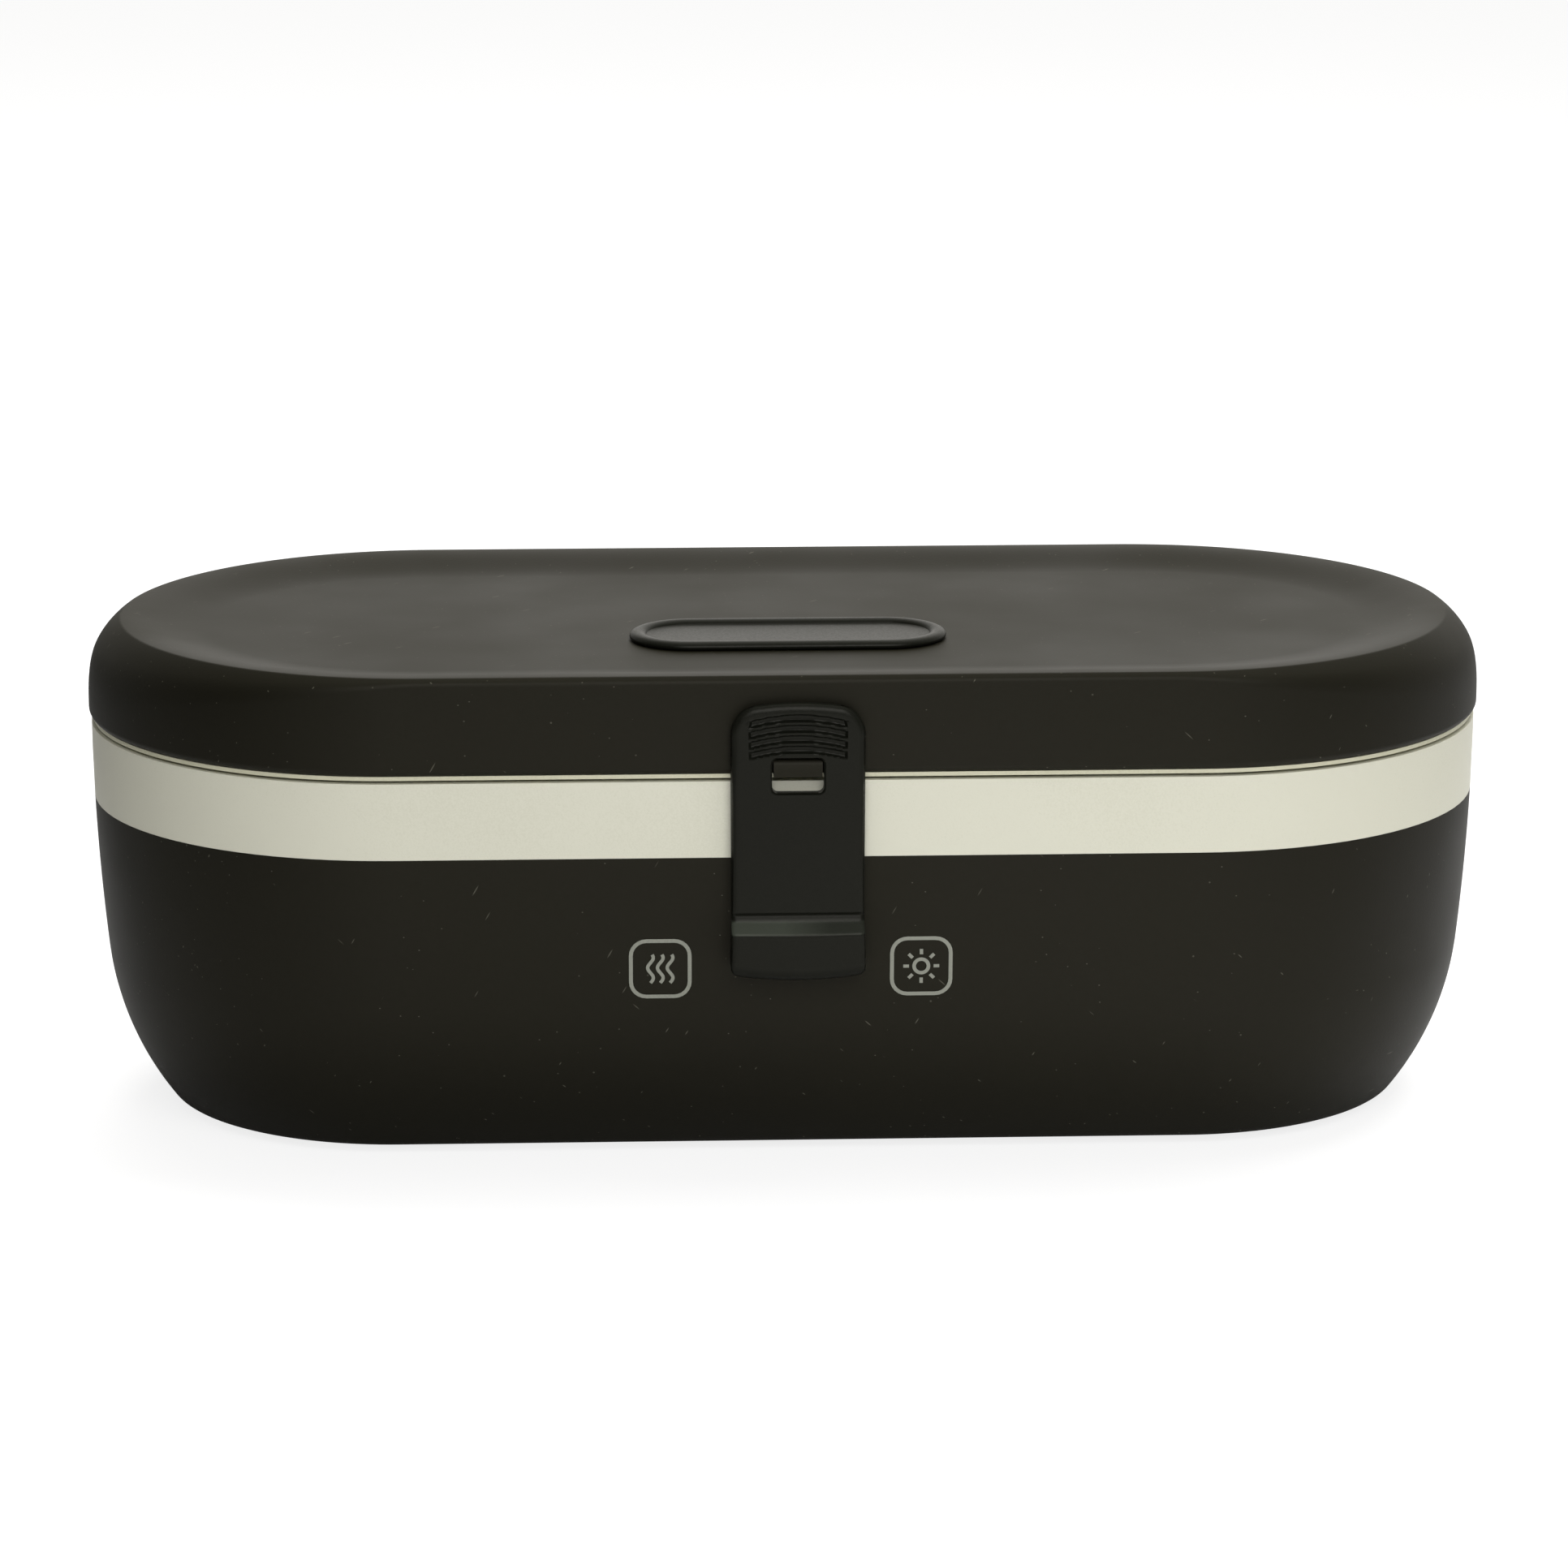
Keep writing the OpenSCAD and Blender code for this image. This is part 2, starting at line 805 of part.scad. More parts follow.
module screw(head, shank, head_top, tip) {
    rod_z(head, 0, 0, head_top - head_h, head_top);
    rod_z(shank, 0, 0, head_top - cut, tip);
}

module base_screws() {
    color(steel)
        at_posts()
            screw(head_r, screw_r, z_shell + head_h + head_sink, z_boss + screw_grip);
}

module heater_plate() {
    color(alloy)
        difference() {
            union() {
                pill_plate(end_x, plate_x, z_plate, z_plate_top);
                at_straps()
                    rod_z(boss_r, 0, 0, z_strap, z_plate + plate_t / 2);
            }
            at_straps()
                rod_z(small_screw_r + pin_gap, 0, 0, z_strap - cut, z_plate + plate_t / 2);
        }
}

module plate_seal() {
    color("#a8a49a")
        pill_sweep(end_x)
            block(plate_x - seal_w, plate_x, z_seal, z_plate);
}

module ptc_blocks() {
    color("#8f9396")
        for (s = [-1, 1])
            translate([s * ptc_x, 0, z_strap]) {
                translate([-ptc_l / 2, -ptc_d / 2, 0])
                    cube([ptc_l, ptc_d, ptc_h]);
                for (y = [-1, 1])
                    translate([-s * (ptc_l / 2 + tab_l / 3), y * ptc_d / 4, ptc_h / 2])
                        cube([tab_l, tab_l, tab_t], center = true);
            }
}

module clamp_straps() {
    color(steel)
        difference() {
            for (s = [-1, 1])
                translate([s * ptc_x, 0, z_strap - strap_t])
                    linear_extrude(strap_t)
                        rotate(90)
                            pill_2d(2 * boss_y + strap_w, strap_w);
            at_straps()
                rod_z(small_screw_r + pin_gap, 0, 0, z_strap - strap_t - cut, z_strap + cut);
        }
}

module strap_screws() {
    color(steel)
        at_straps() {
            rod_z(small_head_r, 0, 0, z_strap - strap_t - small_head_h, z_strap - strap_t);
            rod_z(small_screw_r, 0, 0, z_strap - strap_t - cut / 2, z_plate);
        }
}

module insulation_mat() {
    color("#ece9df")
        translate([0, 0, z_floor])
            linear_extrude(mat_t)
                round_rect(mat_l, mat_d, mat_r);
}

module thermostat() {
    color("#5b4a3a") {
        rod_z(thermostat_r, 0, 0, z_plate - thermostat_cap_h, z_plate);
        rod_z(thermostat_r - 1, 0, 0, z_plate - thermostat_h, z_plate - thermostat_cap_h / 2);
        for (s = [-1, 1])
            translate([s * thermostat_r / 2, 0, z_plate - thermostat_h - tab_l / 4])
                cube([tab_t, tab_l, tab_l], center = true);
    }
}

module thermal_fuse() {
    color("#d8d4c8")
        translate([0, ptc_d / 2 + boss_r, z_plate - fuse_r - pin_gap]) {
            rod_x(fuse_r, fuse_l, 0, 0);
            rod_x(fuse_wire_r, 2 * fuse_l, 0, 0);
        }
}

module control_board() {
    color(board_green) {
        translate([board_x, 0, z_board])
            linear_extrude(board_t)
                round_rect(board_l, board_d, board_r);
        for (part = board_parts)
            translate([board_x + part[0], part[1], z_board + board_t - board_sink])
                linear_extrude(part[4] + board_sink)
                    round_rect(part[2], part[3], part[4] / 8);
    }
}

// Touch board on pegs behind the two keys
module touch_board() {
    color(board_green) {
        along_y(touch_board_y, touch_board_y + touch_board_t)
            translate([(touch_x0 + touch_x1) / 2, z_key])
                round_rect(touch_x1 - touch_x0, touch_board_h, touch_board_r);
        for (x = touch_chip_x)
            translate([x, touch_board_y + touch_board_t, z_key])
                cube([touch_chip_w, 2 * touch_chip_t, touch_chip_w], center = true);
    }
}

module touch_pads() {
    color(brass)
        for (x = key_x)
            translate([x, -wall_x(z_key - pad_r, wall_t) + pin_gap, z_key])
                rotate([-90, 0, 0])
                    cylinder(r = pad_r, h = wall_x(z_key - pad_r, wall_t) - pin_gap + touch_board_y);
}

module heat_key_light() {
    color("#6b6d62")
        key_light(key_x[0], 0);
}

module lamp_key_light() {
    color("#6b6d62")
        key_light(key_x[1], 0);
}

// Two-pin socket in a flat pocket at the back
module power_inlet() {
    color("#1b1b1b")
        difference() {
            union() {
                along_y(inlet_y - socket_depth - inlet_back, inlet_y + inlet_flange_t / 2)
                    translate([0, inlet_z])
                        round_rect(inlet_w, inlet_h, inlet_r);
                along_y(inlet_y, inlet_y + inlet_flange_t)
                    translate([0, inlet_z])
                        round_rect(flange_w, flange_h, flange_r);
            }
            along_y(inlet_y + inlet_flange_t - socket_depth, inlet_y + inlet_flange_t + cut)
                translate([0, inlet_z])
                    pill_2d(socket_w, socket_h);
            at_pins()
                cylinder(r = pin_r + pin_gap, h = pin_tail + inlet_back + socket_depth);
        }
}

module inlet_pins() {
    color(brass)
        at_pins() {
            cylinder(r = pin_r, h = pin_l);
            translate([0, 0, pin_l])
                cylinder(r1 = pin_r, r2 = pin_r * 0.6, h = pin_tip);
        }
}

module lamp_contacts() {
    color(brass)
        for (x = contact_x)
            rod_z(contact_r, x, contact_y, z_rim - contact_l, z_rim + contact_rise);
}

// Food tray: drafted wall, rounded lower corner and a flat flange
module tray_region(inset, z1) {
    r = tray_r - inset;
    px = tray_cx + r * cos(draft_a);
    pz = z_tray + tray_r - r * sin(draft_a);
    block(0, tray_cx, z_tray + inset, z1);
    intersection() {
        disc_at(tray_cx, z_tray + tray_r, r);
        block(tray_cx, tray_cx + tray_r, z_tray, pz);
    }
    polygon([
        [tray_cx, pz],
        [px, pz],
        [px + tan(draft_a) * (z1 - pz), z1],
        [tray_cx, z1]
    ]);
}

module food_tray() {
    color("#c9cbcc")
        pill_sweep(end_x) {
            difference() {
                tray_region(0, z_tray_flange);
                tray_region(tray_t, z_tray_flange + cut);
            }
            block(tray_top_in + tray_t / 2, tray_flange, z_ledge, z_tray_flange);
        }
}

module tray_divider() {
    color("#dcdcd6")
        translate([divider_x, 0, 0])
            along_x(divider_t)
                difference() {
                    union() {
                        tray_region(tray_t + fit_gap, z_divider);
                        mirror([1, 0])
                            tray_region(tray_t + fit_gap, z_divider);
                    }
                    translate([0, z_divider + notch_r - notch_d])
                        circle(notch_r);
                }
}

module hinge_pin() {
    color(steel)
        rod_x(hinge_pin_r, hinge_w, hinge_y, hinge_z);
}

module latch_pin() {
    color(steel)
        rod_x(latch_pin_r, latch_pin_l, pivot_y, pivot_z);
}

// Lid shell: a straight-sided pill cut by a shorter, rounder one, which widens the shoulder
// towards the ends, with a dish sunk inside the ridge
module lid_side_section() {
    block(0, half_d - lid_edge_r, z_lid, z_top + cut);
    block(half_d - lid_edge_r, half_d, z_lid + lid_edge_r, z_top + cut);
    intersection() {
        disc_at(half_d - lid_edge_r, z_lid + lid_edge_r, lid_edge_r);
        block(half_d - lid_edge_r, half_d, z_lid, z_lid + lid_edge_r);
    }
}

module lid_crown_section() {
    shoulder_end = shoulder_x + shoulder_r;
    block(0, dish_x, z_lid - cut, z_dish);
    difference() {
        block(dish_x, ridge_in, z_lid - cut, z_top);
        disc_at(dish_x, dish_cz, dish_r);
    }
    block(ridge_in, ridge_out, z_lid - cut, ridge_z);
    intersection() {
        disc_at(ridge_x, ridge_z, ridge_r);
        block(ridge_in, ridge_out, ridge_z, z_top + cut);
    }
    block(ridge_out, shoulder_end, z_lid - cut, shoulder_z);
    intersection() {
        disc_at(shoulder_x, shoulder_z, shoulder_r);
        block(ridge_out, shoulder_end, shoulder_z, z_top);
    }
}

module lid_hollow_section() {
    hollow_r = shoulder_r - wall_t;
    block(0, shoulder_x, z_lid - cut, z_ceiling);
    block(shoulder_x, shoulder_x + hollow_r, z_lid - cut, shoulder_z);
    intersection() {
        disc_at(shoulder_x, shoulder_z, hollow_r);
        block(shoulder_x, shoulder_x + hollow_r, shoulder_z, z_ceiling);
    }
}

module lid_cap() {
    intersection() {
        pill_sweep(end_x)
            lid_side_section();
        pill_sweep(top_end_x)
            lid_crown_section();
    }
}

module lid_hollow() {
    intersection() {
        pill_sweep(end_x)
            block(0, lid_in, z_lid - cut, z_ceiling + cut);
        pill_sweep(top_end_x)
            lid_hollow_section();
    }
}

module lid_nub() {
    along_x(window_w - 2 * run_gap)
        polygon([
            [-(half_d - lid_edge_r), z_lid],
            [-(half_d - lid_edge_r), z_lid + nub_h],
            [latch_face + latch_gap + nub_slope, z_lid + nub_h],
            [latch_face + latch_gap, z_lid + nub_h - nub_chin],
            [latch_face + latch_gap, z_lid]
        ]);
}

module lid_knuckle() {
    rod_x(barrel_r, lid_barrel_l, hinge_y, hinge_z);
    along_x(lid_barrel_l)
        polygon([
            [half_d - lid_edge_r, z_lid],
            [half_d - lid_edge_r, z_lid + web_h],
            [half_d, z_lid + web_h],
            [hinge_y + web_share * barrel_r, hinge_z + barrel_r / 2],
            [hinge_y, hinge_z - barrel_r / 4],
            [hinge_y - web_share * barrel_r, z_lid]
        ]);
}

module lid_shell() {
    color(dark)
        difference() {
            union() {
                difference() {
                    lid_cap();
                    lid_hollow();
                }
                lid_nub();
                lid_knuckle();
                translate([0, vent_y, 0])
                    pill_plate((plug_l - plug_d) / 2, plug_d / 2 + plug_wall, z_liner + liner_t,
                        z_ceiling + cut);
                at_lid_posts()
                    rod_z(post_r, 0, 0, z_liner + liner_t, z_ceiling + cut);
                at_lamp_posts()
                    rod_z(small_head_r + run_gap, 0, 0, z_lamp + board_t, z_ceiling + cut);
                for (s = [-1, 1])
                    translate([s * (vent_knuckle_l / 2 + fit_gap + vent_lug_l / 2), 0, 0])
                        rod_x(vent_knuckle_r, vent_lug_l, vent_axis_y, vent_axis_z);
            }
            rod_x(hinge_pin_r + pin_gap, lid_barrel_l + cut, hinge_y, hinge_z);
            rod_x(vent_knuckle_r + run_gap, vent_knuckle_l + 2 * fit_gap, vent_axis_y, vent_axis_z);
            rod_x(vent_pin_r + pin_gap, vent_pin_l + cut, vent_axis_y, vent_axis_z);
            translate([0, vent_y, 0])
                pill_plate((plug_l - plug_d) / 2, plug_d / 2 + plug_gap, z_dish - plug_h - plug_gap,
                    z_dish + cut);
            at_steam()
                rod_z(steam_r, 0, 0, z_liner, z_dish);
            at_lid_posts()
                rod_z(small_screw_r + pin_gap, 0, 0, z_liner, z_liner + liner_t + small_grip + cut);
            at_lamp_posts()
                rod_z(small_screw_r + pin_gap, 0, 0, z_lamp, z_ceiling);
        }
}

// Lid liner: pale ceiling with a gasket seat, whose edge shows as a thin line under the lid
module liner_section() {
    seat_in = gasket_mid - gasket_w / 2 - seat_edge;
    block(liner_in - liner_wall, half_d - liner_inset, z_strip, z_lid);
    block(liner_in - liner_wall, liner_in, z_strip, z_liner + liner_t);
    block(0, liner_in - liner_wall / 2, z_liner, z_liner + liner_t);
    block(seat_in, seat_in + liner_wall, z_gasket_seat, z_liner + liner_t / 2);
    difference() {
        block(seat_in, liner_in - liner_wall / 2, z_gasket_seat, z_gasket_seat + gasket_tongue_h + seat_t);
        translate([gasket_mid - gasket_tongue_w / 2 - pin_gap, z_gasket_seat - cut])
            square([gasket_tongue_w + 2 * pin_gap, gasket_tongue_h + pin_gap + cut]);
    }
}

module lid_liner() {
    color(pale)
        difference() {
            pill_sweep(end_x)
                liner_section();
            translate([0, lamp_y, 0]) {
                pill_plate(lens_half, lamp_d / 2 + fit_gap, z_liner - cut, z_liner + liner_t + cut);
                pill_plate(lens_half, lamp_d / 2 + lens_lip + fit_gap, z_liner + liner_t / 2,
                    z_liner + liner_t + cut);
            }
            at_steam()
                rod_z(steam_r, 0, 0, z_liner - cut, z_liner + liner_t + cut);
            at_lid_posts()
                rod_z(small_screw_r + pin_gap, 0, 0, z_liner - cut, z_liner + liner_t + cut);
            for (x = contact_x)
                rod_z(pad_contact_r + pin_gap, x, contact_y, z_strip - cut, z_strip + pad_contact_h);
        }
}

module lid_gasket() {
    color("#8b8d80")
        pill_sweep(end_x) {
            block(gasket_mid - gasket_w / 2, gasket_mid + gasket_w / 2, z_gasket, z_gasket_seat);
            block(gasket_mid - gasket_tongue_w / 2, gasket_mid + gasket_tongue_w / 2,
                z_gasket_seat - cut / 2, z_gasket_seat + gasket_tongue_h);
        }
}

module liner_screws() {
    color(steel) {
        at_lid_posts() {
            rod_z(small_head_r, 0, 0, z_liner - small_head_h, z_liner);
            rod_z(small_screw_r, 0, 0, z_liner - cut / 2, z_liner + liner_t + small_grip);
        }
        at_lamp_posts() {
            rod_z(small_head_r, 0, 0, z_lamp - small_head_h, z_lamp);
            rod_z(small_screw_r, 0, 0, z_lamp - cut / 2, z_ceiling - board_sink);
        }
    }
}

module lamp_board() {
    color(board_green)
        difference() {
            union() {
                translate([0, lamp_y, z_lamp])
                    linear_extrude(board_t)
                        round_rect(lamp_l - 2 * board_r, lamp_d - board_r, board_r);
                for (i = [0 : lamp_count - 1])
                    rod_z(lamp_r, (i - (lamp_count - 1) / 2) * lamp_pitch, lamp_y, z_lamp - lamp_h,
                        z_lamp + board_t / 2);
            }
            at_lamp_posts()
                rod_z(small_screw_r + pin_gap, 0, 0, z_lamp - cut, z_lamp + board_t + cut);
        }
}

module lamp_lens() {
    color("#dfe6ea")
        translate([0, lamp_y, 0]) {
            pill_plate(lens_half, lamp_d / 2, z_liner, z_liner + liner_t);
            pill_plate(lens_half, lamp_d / 2 + lens_lip, z_liner + liner_t / 2, z_liner + liner_t);
        }
}

module lamp_pads() {
    color(brass)
        for (x = contact_x)
            rod_z(pad_contact_r, x, contact_y, z_strip, z_strip + pad_contact_h);
}

module vent_pin() {
    color(steel)
        rod_x(vent_pin_r, vent_pin_l, vent_axis_y, vent_axis_z);
}

// Latch: a bent side section cut to the waisted front outline
module latch_side() {
    foot_face = pivot_y - latch_barrel_r + foot_in;
    foot_back = pivot_y + latch_barrel_r - foot_in;
    foot_top = pivot_z + latch_foot_h;
    seam_z = foot_top + foot_slope + seam_up;
    polygon([
        [foot_face, pivot_z],
        [foot_face, foot_top],
        [latch_face, foot_top + foot_slope],
        [latch_face, seam_z - seam_w / 2],
        [latch_face + seam_d, seam_z],
        [latch_face, seam_z + seam_w / 2],
        [latch_face, latch_top - latch_round],
        [latch_face + latch_round / 3, latch_top - latch_round / 3],
        [latch_face + latch_round, latch_top],
        [latch_back, latch_top],
        [latch_back, foot_top + foot_slope / 2],
        [foot_back, pivot_z]
    ]);
}

module latch_front() {
    half_h = (latch_top - latch_foot) / 2;
    waist_r = (half_h * half_h + latch_waist * latch_waist) / (2 * latch_waist);
    difference() {
        intersection() {
            union() {
                block(-latch_w / 2, latch_w / 2, latch_foot, latch_top - corner_r);
                block(-latch_w / 2 + corner_r, latch_w / 2 - corner_r, latch_top - corner_r, latch_top);
                for (s = [-1, 1])
                    disc_at(s * (latch_w / 2 - corner_r), latch_top - corner_r, corner_r);
            }
            disc_at(0, latch_top - crown_r, crown_r);
        }
        for (s = [-1, 1])
            translate([s * (latch_w / 2 - latch_waist + waist_r), latch_foot + half_h])
                circle(waist_r, $fn = bow_fn);
    }
}

module latch_window() {
    along_y(latch_face - latch_barrel_r, latch_back + cut)
        translate([0, window_top - window_h / 2]) {
            round_rect(window_w, window_h, window_r);
            block(-window_w / 2, window_w / 2, 0, window_h / 2);
        }
}

module grip_grooves() {
    along_y(latch_face - cut, latch_face + grip_depth)
        for (i = [0 : grip_count - 1])
            translate([0, latch_top - grip_drop - i * grip_pitch - grip_r])
                intersection() {
                    difference() {
                        circle(grip_r);
                        circle(grip_r - grip_line);
                    }
                    block(-grip_w / 2, grip_w / 2, 0, grip_r + cut);
                }
}

// Room for the lug of the shell, also while the latch swings down
module lug_room() {
    web_half = lug_web_t / 2 + run_gap;
    rod_x(lug_r + run_gap + pin_gap, lug_w + 2 * run_gap, pivot_y, pivot_z);
    along_x(lug_w + 2 * run_gap)
        translate([pivot_y - web_half, pivot_z - 2 * latch_barrel_r])
            square([web_half + 2 * latch_barrel_r, web_half + 2 * latch_barrel_r]);
}

module latch() {
    color(latch_dark)
        difference() {
            intersection() {
                union() {
                    rod_x(latch_barrel_r, latch_w + 2, pivot_y, pivot_z);
                    along_x(latch_w + 2)
                        latch_side();
                }
                along_y(pivot_y - latch_barrel_r - cut, -half_d + 2 * latch_barrel_r)
                    latch_front();
            }
            latch_window();
            grip_grooves();
            lug_room();
            rod_x(latch_pin_r + pin_gap, latch_pin_l + 2 * fit_gap, pivot_y, pivot_z);
        }
}

// Vent cover: pill with a raised bead, a plug below and a hinge knuckle behind
module vent_section() {
    bead_mid = vent_d / 2 - vent_bead / 2;
    bead_r = (pow(vent_bead / 2, 2) + pow(vent_panel_drop, 2)) / (2 * vent_panel_drop);
    z_panel = z_dish + vent_h - vent_panel_drop;
    block(0, vent_d / 2, z_dish + fit_gap, z_panel);
    intersection() {
        disc_at(bead_mid, z_dish + vent_h - bead_r, bead_r);
        block(bead_mid - vent_bead / 2, vent_d / 2, z_panel, z_dish + vent_h + cut);
    }
}

module vent_cover() {
    color(latch_dark)
        difference() {
            union() {
                translate([0, vent_y, 0]) {
                    pill_sweep((vent_l - vent_d) / 2)
                        vent_section();
                    pill_plate((plug_l - plug_d) / 2, plug_d / 2, z_dish - plug_h, z_dish + vent_h / 2);
                }
                rod_x(vent_knuckle_r, vent_knuckle_l, vent_axis_y, vent_axis_z);
                along_x(vent_knuckle_l)
                    block(vent_axis_y - vent_arm_l, vent_axis_y, vent_axis_z + pin_gap,
                        vent_axis_z + 0.8 * vent_knuckle_r);
            }
            rod_x(vent_pin_r + pin_gap, vent_knuckle_l + cut, vent_axis_y, vent_axis_z);
        }
}

lower_shell();
inner_housing();
rubber_feet();
base_screws();
heater_plate();
plate_seal();
ptc_blocks();
clamp_straps();
strap_screws();
insulation_mat();
thermostat();
thermal_fuse();
control_board();
touch_board();
touch_pads();
heat_key_light();
lamp_key_light();
power_inlet();
inlet_pins();
lamp_contacts();
food_tray();
tray_divider();
hinge_pin();
latch_pin();
lid_shell();
lid_liner();
lid_gasket();
liner_screws();
lamp_board();
lamp_lens();
lamp_pads();
vent_pin();
latch();
vent_cover();
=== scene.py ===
"""Looks of the electric lunch box. Units here are metres; sizes in millimetres are times MM."""

import json
import math

import bmesh
import bpy
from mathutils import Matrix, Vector


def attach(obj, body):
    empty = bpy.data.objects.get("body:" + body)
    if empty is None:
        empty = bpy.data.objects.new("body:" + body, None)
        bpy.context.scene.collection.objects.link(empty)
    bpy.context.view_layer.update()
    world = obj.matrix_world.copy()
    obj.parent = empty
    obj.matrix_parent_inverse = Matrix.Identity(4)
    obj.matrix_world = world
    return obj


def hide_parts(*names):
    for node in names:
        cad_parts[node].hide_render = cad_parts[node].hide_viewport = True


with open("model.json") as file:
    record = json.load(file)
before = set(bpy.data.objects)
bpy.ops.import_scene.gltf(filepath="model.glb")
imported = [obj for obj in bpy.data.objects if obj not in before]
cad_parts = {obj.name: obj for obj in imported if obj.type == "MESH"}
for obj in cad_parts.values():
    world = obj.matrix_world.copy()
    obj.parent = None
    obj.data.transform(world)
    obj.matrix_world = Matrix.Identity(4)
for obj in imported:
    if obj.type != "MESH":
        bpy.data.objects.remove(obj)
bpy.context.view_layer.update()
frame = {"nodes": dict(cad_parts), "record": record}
MM = 0.001
nodes = frame["nodes"]


# Camera, fitted to the photograph
def aim_camera():
    yaw, rise, away, look_z = 0.041, 0.244, 1200 * MM, 62.74 * MM
    data = bpy.data.cameras.new("camera")
    data.sensor_width = 36
    data.lens = 135.69
    data.clip_start = 0.05
    data.clip_end = 20
    camera = bpy.data.objects.new("camera", data)
    target = Vector((-0.08 * MM, 0, look_z))
    back = Vector((-math.sin(yaw) * math.cos(rise), -math.cos(yaw) * math.cos(rise), math.sin(rise)))
    camera.location = target + back * away
    camera.rotation_euler = back.to_track_quat("Z", "Y").to_euler()
    bpy.context.scene.collection.objects.link(camera)
    bpy.context.scene.camera = camera


aim_camera()


# Colours and materials
def linear(code):
    parts = [int(code[i : i + 2], 16) / 255 for i in (1, 3, 5)]
    return [*((c / 12.92 if c <= 0.04045 else ((c + 0.055) / 1.055) ** 2.4) for c in parts), 1.0]


def add(tree, kind, inputs=(), stops=(), **settings):
    """Adds one node. An input given a socket is linked, any other gets its value, and stops fill a ramp."""
    node = tree.nodes.new(kind)
    for name, value in settings.items():
        setattr(node, name, value)
    for name, value in dict(inputs).items():
        if isinstance(value, bpy.types.NodeSocket):
            tree.links.new(value, node.inputs[name])
        else:
            node.inputs[name].default_value = value
    for index, (at, tone) in enumerate(stops):
        elements = node.color_ramp.elements
        element = elements[index] if index < len(elements) else elements.new(at)
        element.position = at
        element.color = linear(tone) if isinstance(tone, str) else (tone, tone, tone, 1)
    return node


def blank_material(name):
    material = bpy.data.materials.new(name)
    material.use_nodes = True
    material.node_tree.nodes.clear()
    return material, material.node_tree


# Pattern sizes of the lacquer, in millimetres. A scratch is one cell of a stretched pattern.
CLOUD, SCRATCH_CELL, DUST_CELL, PEEL, PEEL_DEEP = 40, 22, 8, 0.5, 0.015
SCRATCH_THIN = 11
SCRATCH_TURNS = (0, 0.75, 0), (0, -1.05, 0), (0, 0, 0.8)


# Soft-touch lacquer sprayed on ABS: matt and faintly brown, with short fine scratches and a few dust
# specks. The real lacquer has an orange-peel ripple of about 0.3 mm, drawn at 0.5 mm so that it shows.
def soft_touch_lacquer(name, dark, light, scuff="#6a685c"):
    material, tree = blank_material(name)
    where = add(tree, "ShaderNodeTexCoord").outputs["Object"]
    cloud = add(tree, "ShaderNodeTexNoise", {"Vector": where, "Scale": 1 / (CLOUD * MM), "Detail": 3.0})
    tone = add(tree, "ShaderNodeValToRGB", {"Fac": cloud.outputs[0]}, [(0.3, dark), (0.72, light)])
    specks = add(tree, "ShaderNodeTexVoronoi", {"Vector": where, "Scale": 1 / (DUST_CELL * MM)})
    dust = add(tree, "ShaderNodeValToRGB", {"Fac": specks.outputs["Distance"]},
               [(0.015, 0.8), (0.03, 0.0)])
    worn = dust.outputs[0]
    # Scratches are 1 to 3 mm long and about 0.2 mm wide, two slants on the walls and one on the top.
    # About half of the cells have one.
    for turn in SCRATCH_TURNS:
        slant = add(tree, "ShaderNodeMapping",
                    {"Vector": where, "Rotation": turn, "Scale": (1, 1 / SCRATCH_THIN, 1 / SCRATCH_THIN)},
                    vector_type="TEXTURE")
        cells = add(tree, "ShaderNodeTexVoronoi",
                    {"Vector": slant.outputs[0], "Scale": 1 / (SCRATCH_CELL * MM)})
        line = add(tree, "ShaderNodeValToRGB", {"Fac": cells.outputs["Distance"]},
                   [(0.035, 1.0), (0.065, 0.0)])
        pick = add(tree, "ShaderNodeSeparateColor", {"Color": cells.outputs["Color"]})
        kept = add(tree, "ShaderNodeMath", {0: pick.outputs[0], 1: 0.5}, operation="GREATER_THAN")
        mark = add(tree, "ShaderNodeMath", {0: line.outputs[0], 1: kept.outputs[0]}, operation="MULTIPLY")
        worn = add(tree, "ShaderNodeMath", {0: mark.outputs[0], 1: worn}, operation="MAXIMUM").outputs[0]
    faint = add(tree, "ShaderNodeMath", {0: worn, 1: 0.5}, operation="MULTIPLY")
    colour = add(tree, "ShaderNodeMix", {0: faint.outputs[0], 6: tone.outputs[0], 7: linear(scuff)},
                 data_type="RGBA")
    peel = add(tree, "ShaderNodeTexNoise", {"Vector": where, "Scale": 1 / (PEEL * MM), "Detail": 2.0})
    bump = add(tree, "ShaderNodeBump",
               {"Height": peel.outputs[0], "Distance": PEEL_DEEP * MM, "Strength": 1.0})
    gloss = add(tree, "ShaderNodeValToRGB", {"Fac": cloud.outputs[0]}, [(0.3, 0.50), (0.7, 0.58)])
    shader = add(tree, "ShaderNodeBsdfPrincipled",
                 {"Base Color": colour.outputs[2], "Normal": bump.outputs[0], "Roughness": gloss.outputs[0]})
    shader.inputs["IOR"].default_value = 1.48
    shader.inputs["Specular IOR Level"].default_value = 0.2
    shader.inputs["Specular Tint"].default_value = (1, 0.95, 0.82, 1)
    add(tree, "ShaderNodeOutputMaterial", {0: shader.outputs[0]})
    return material


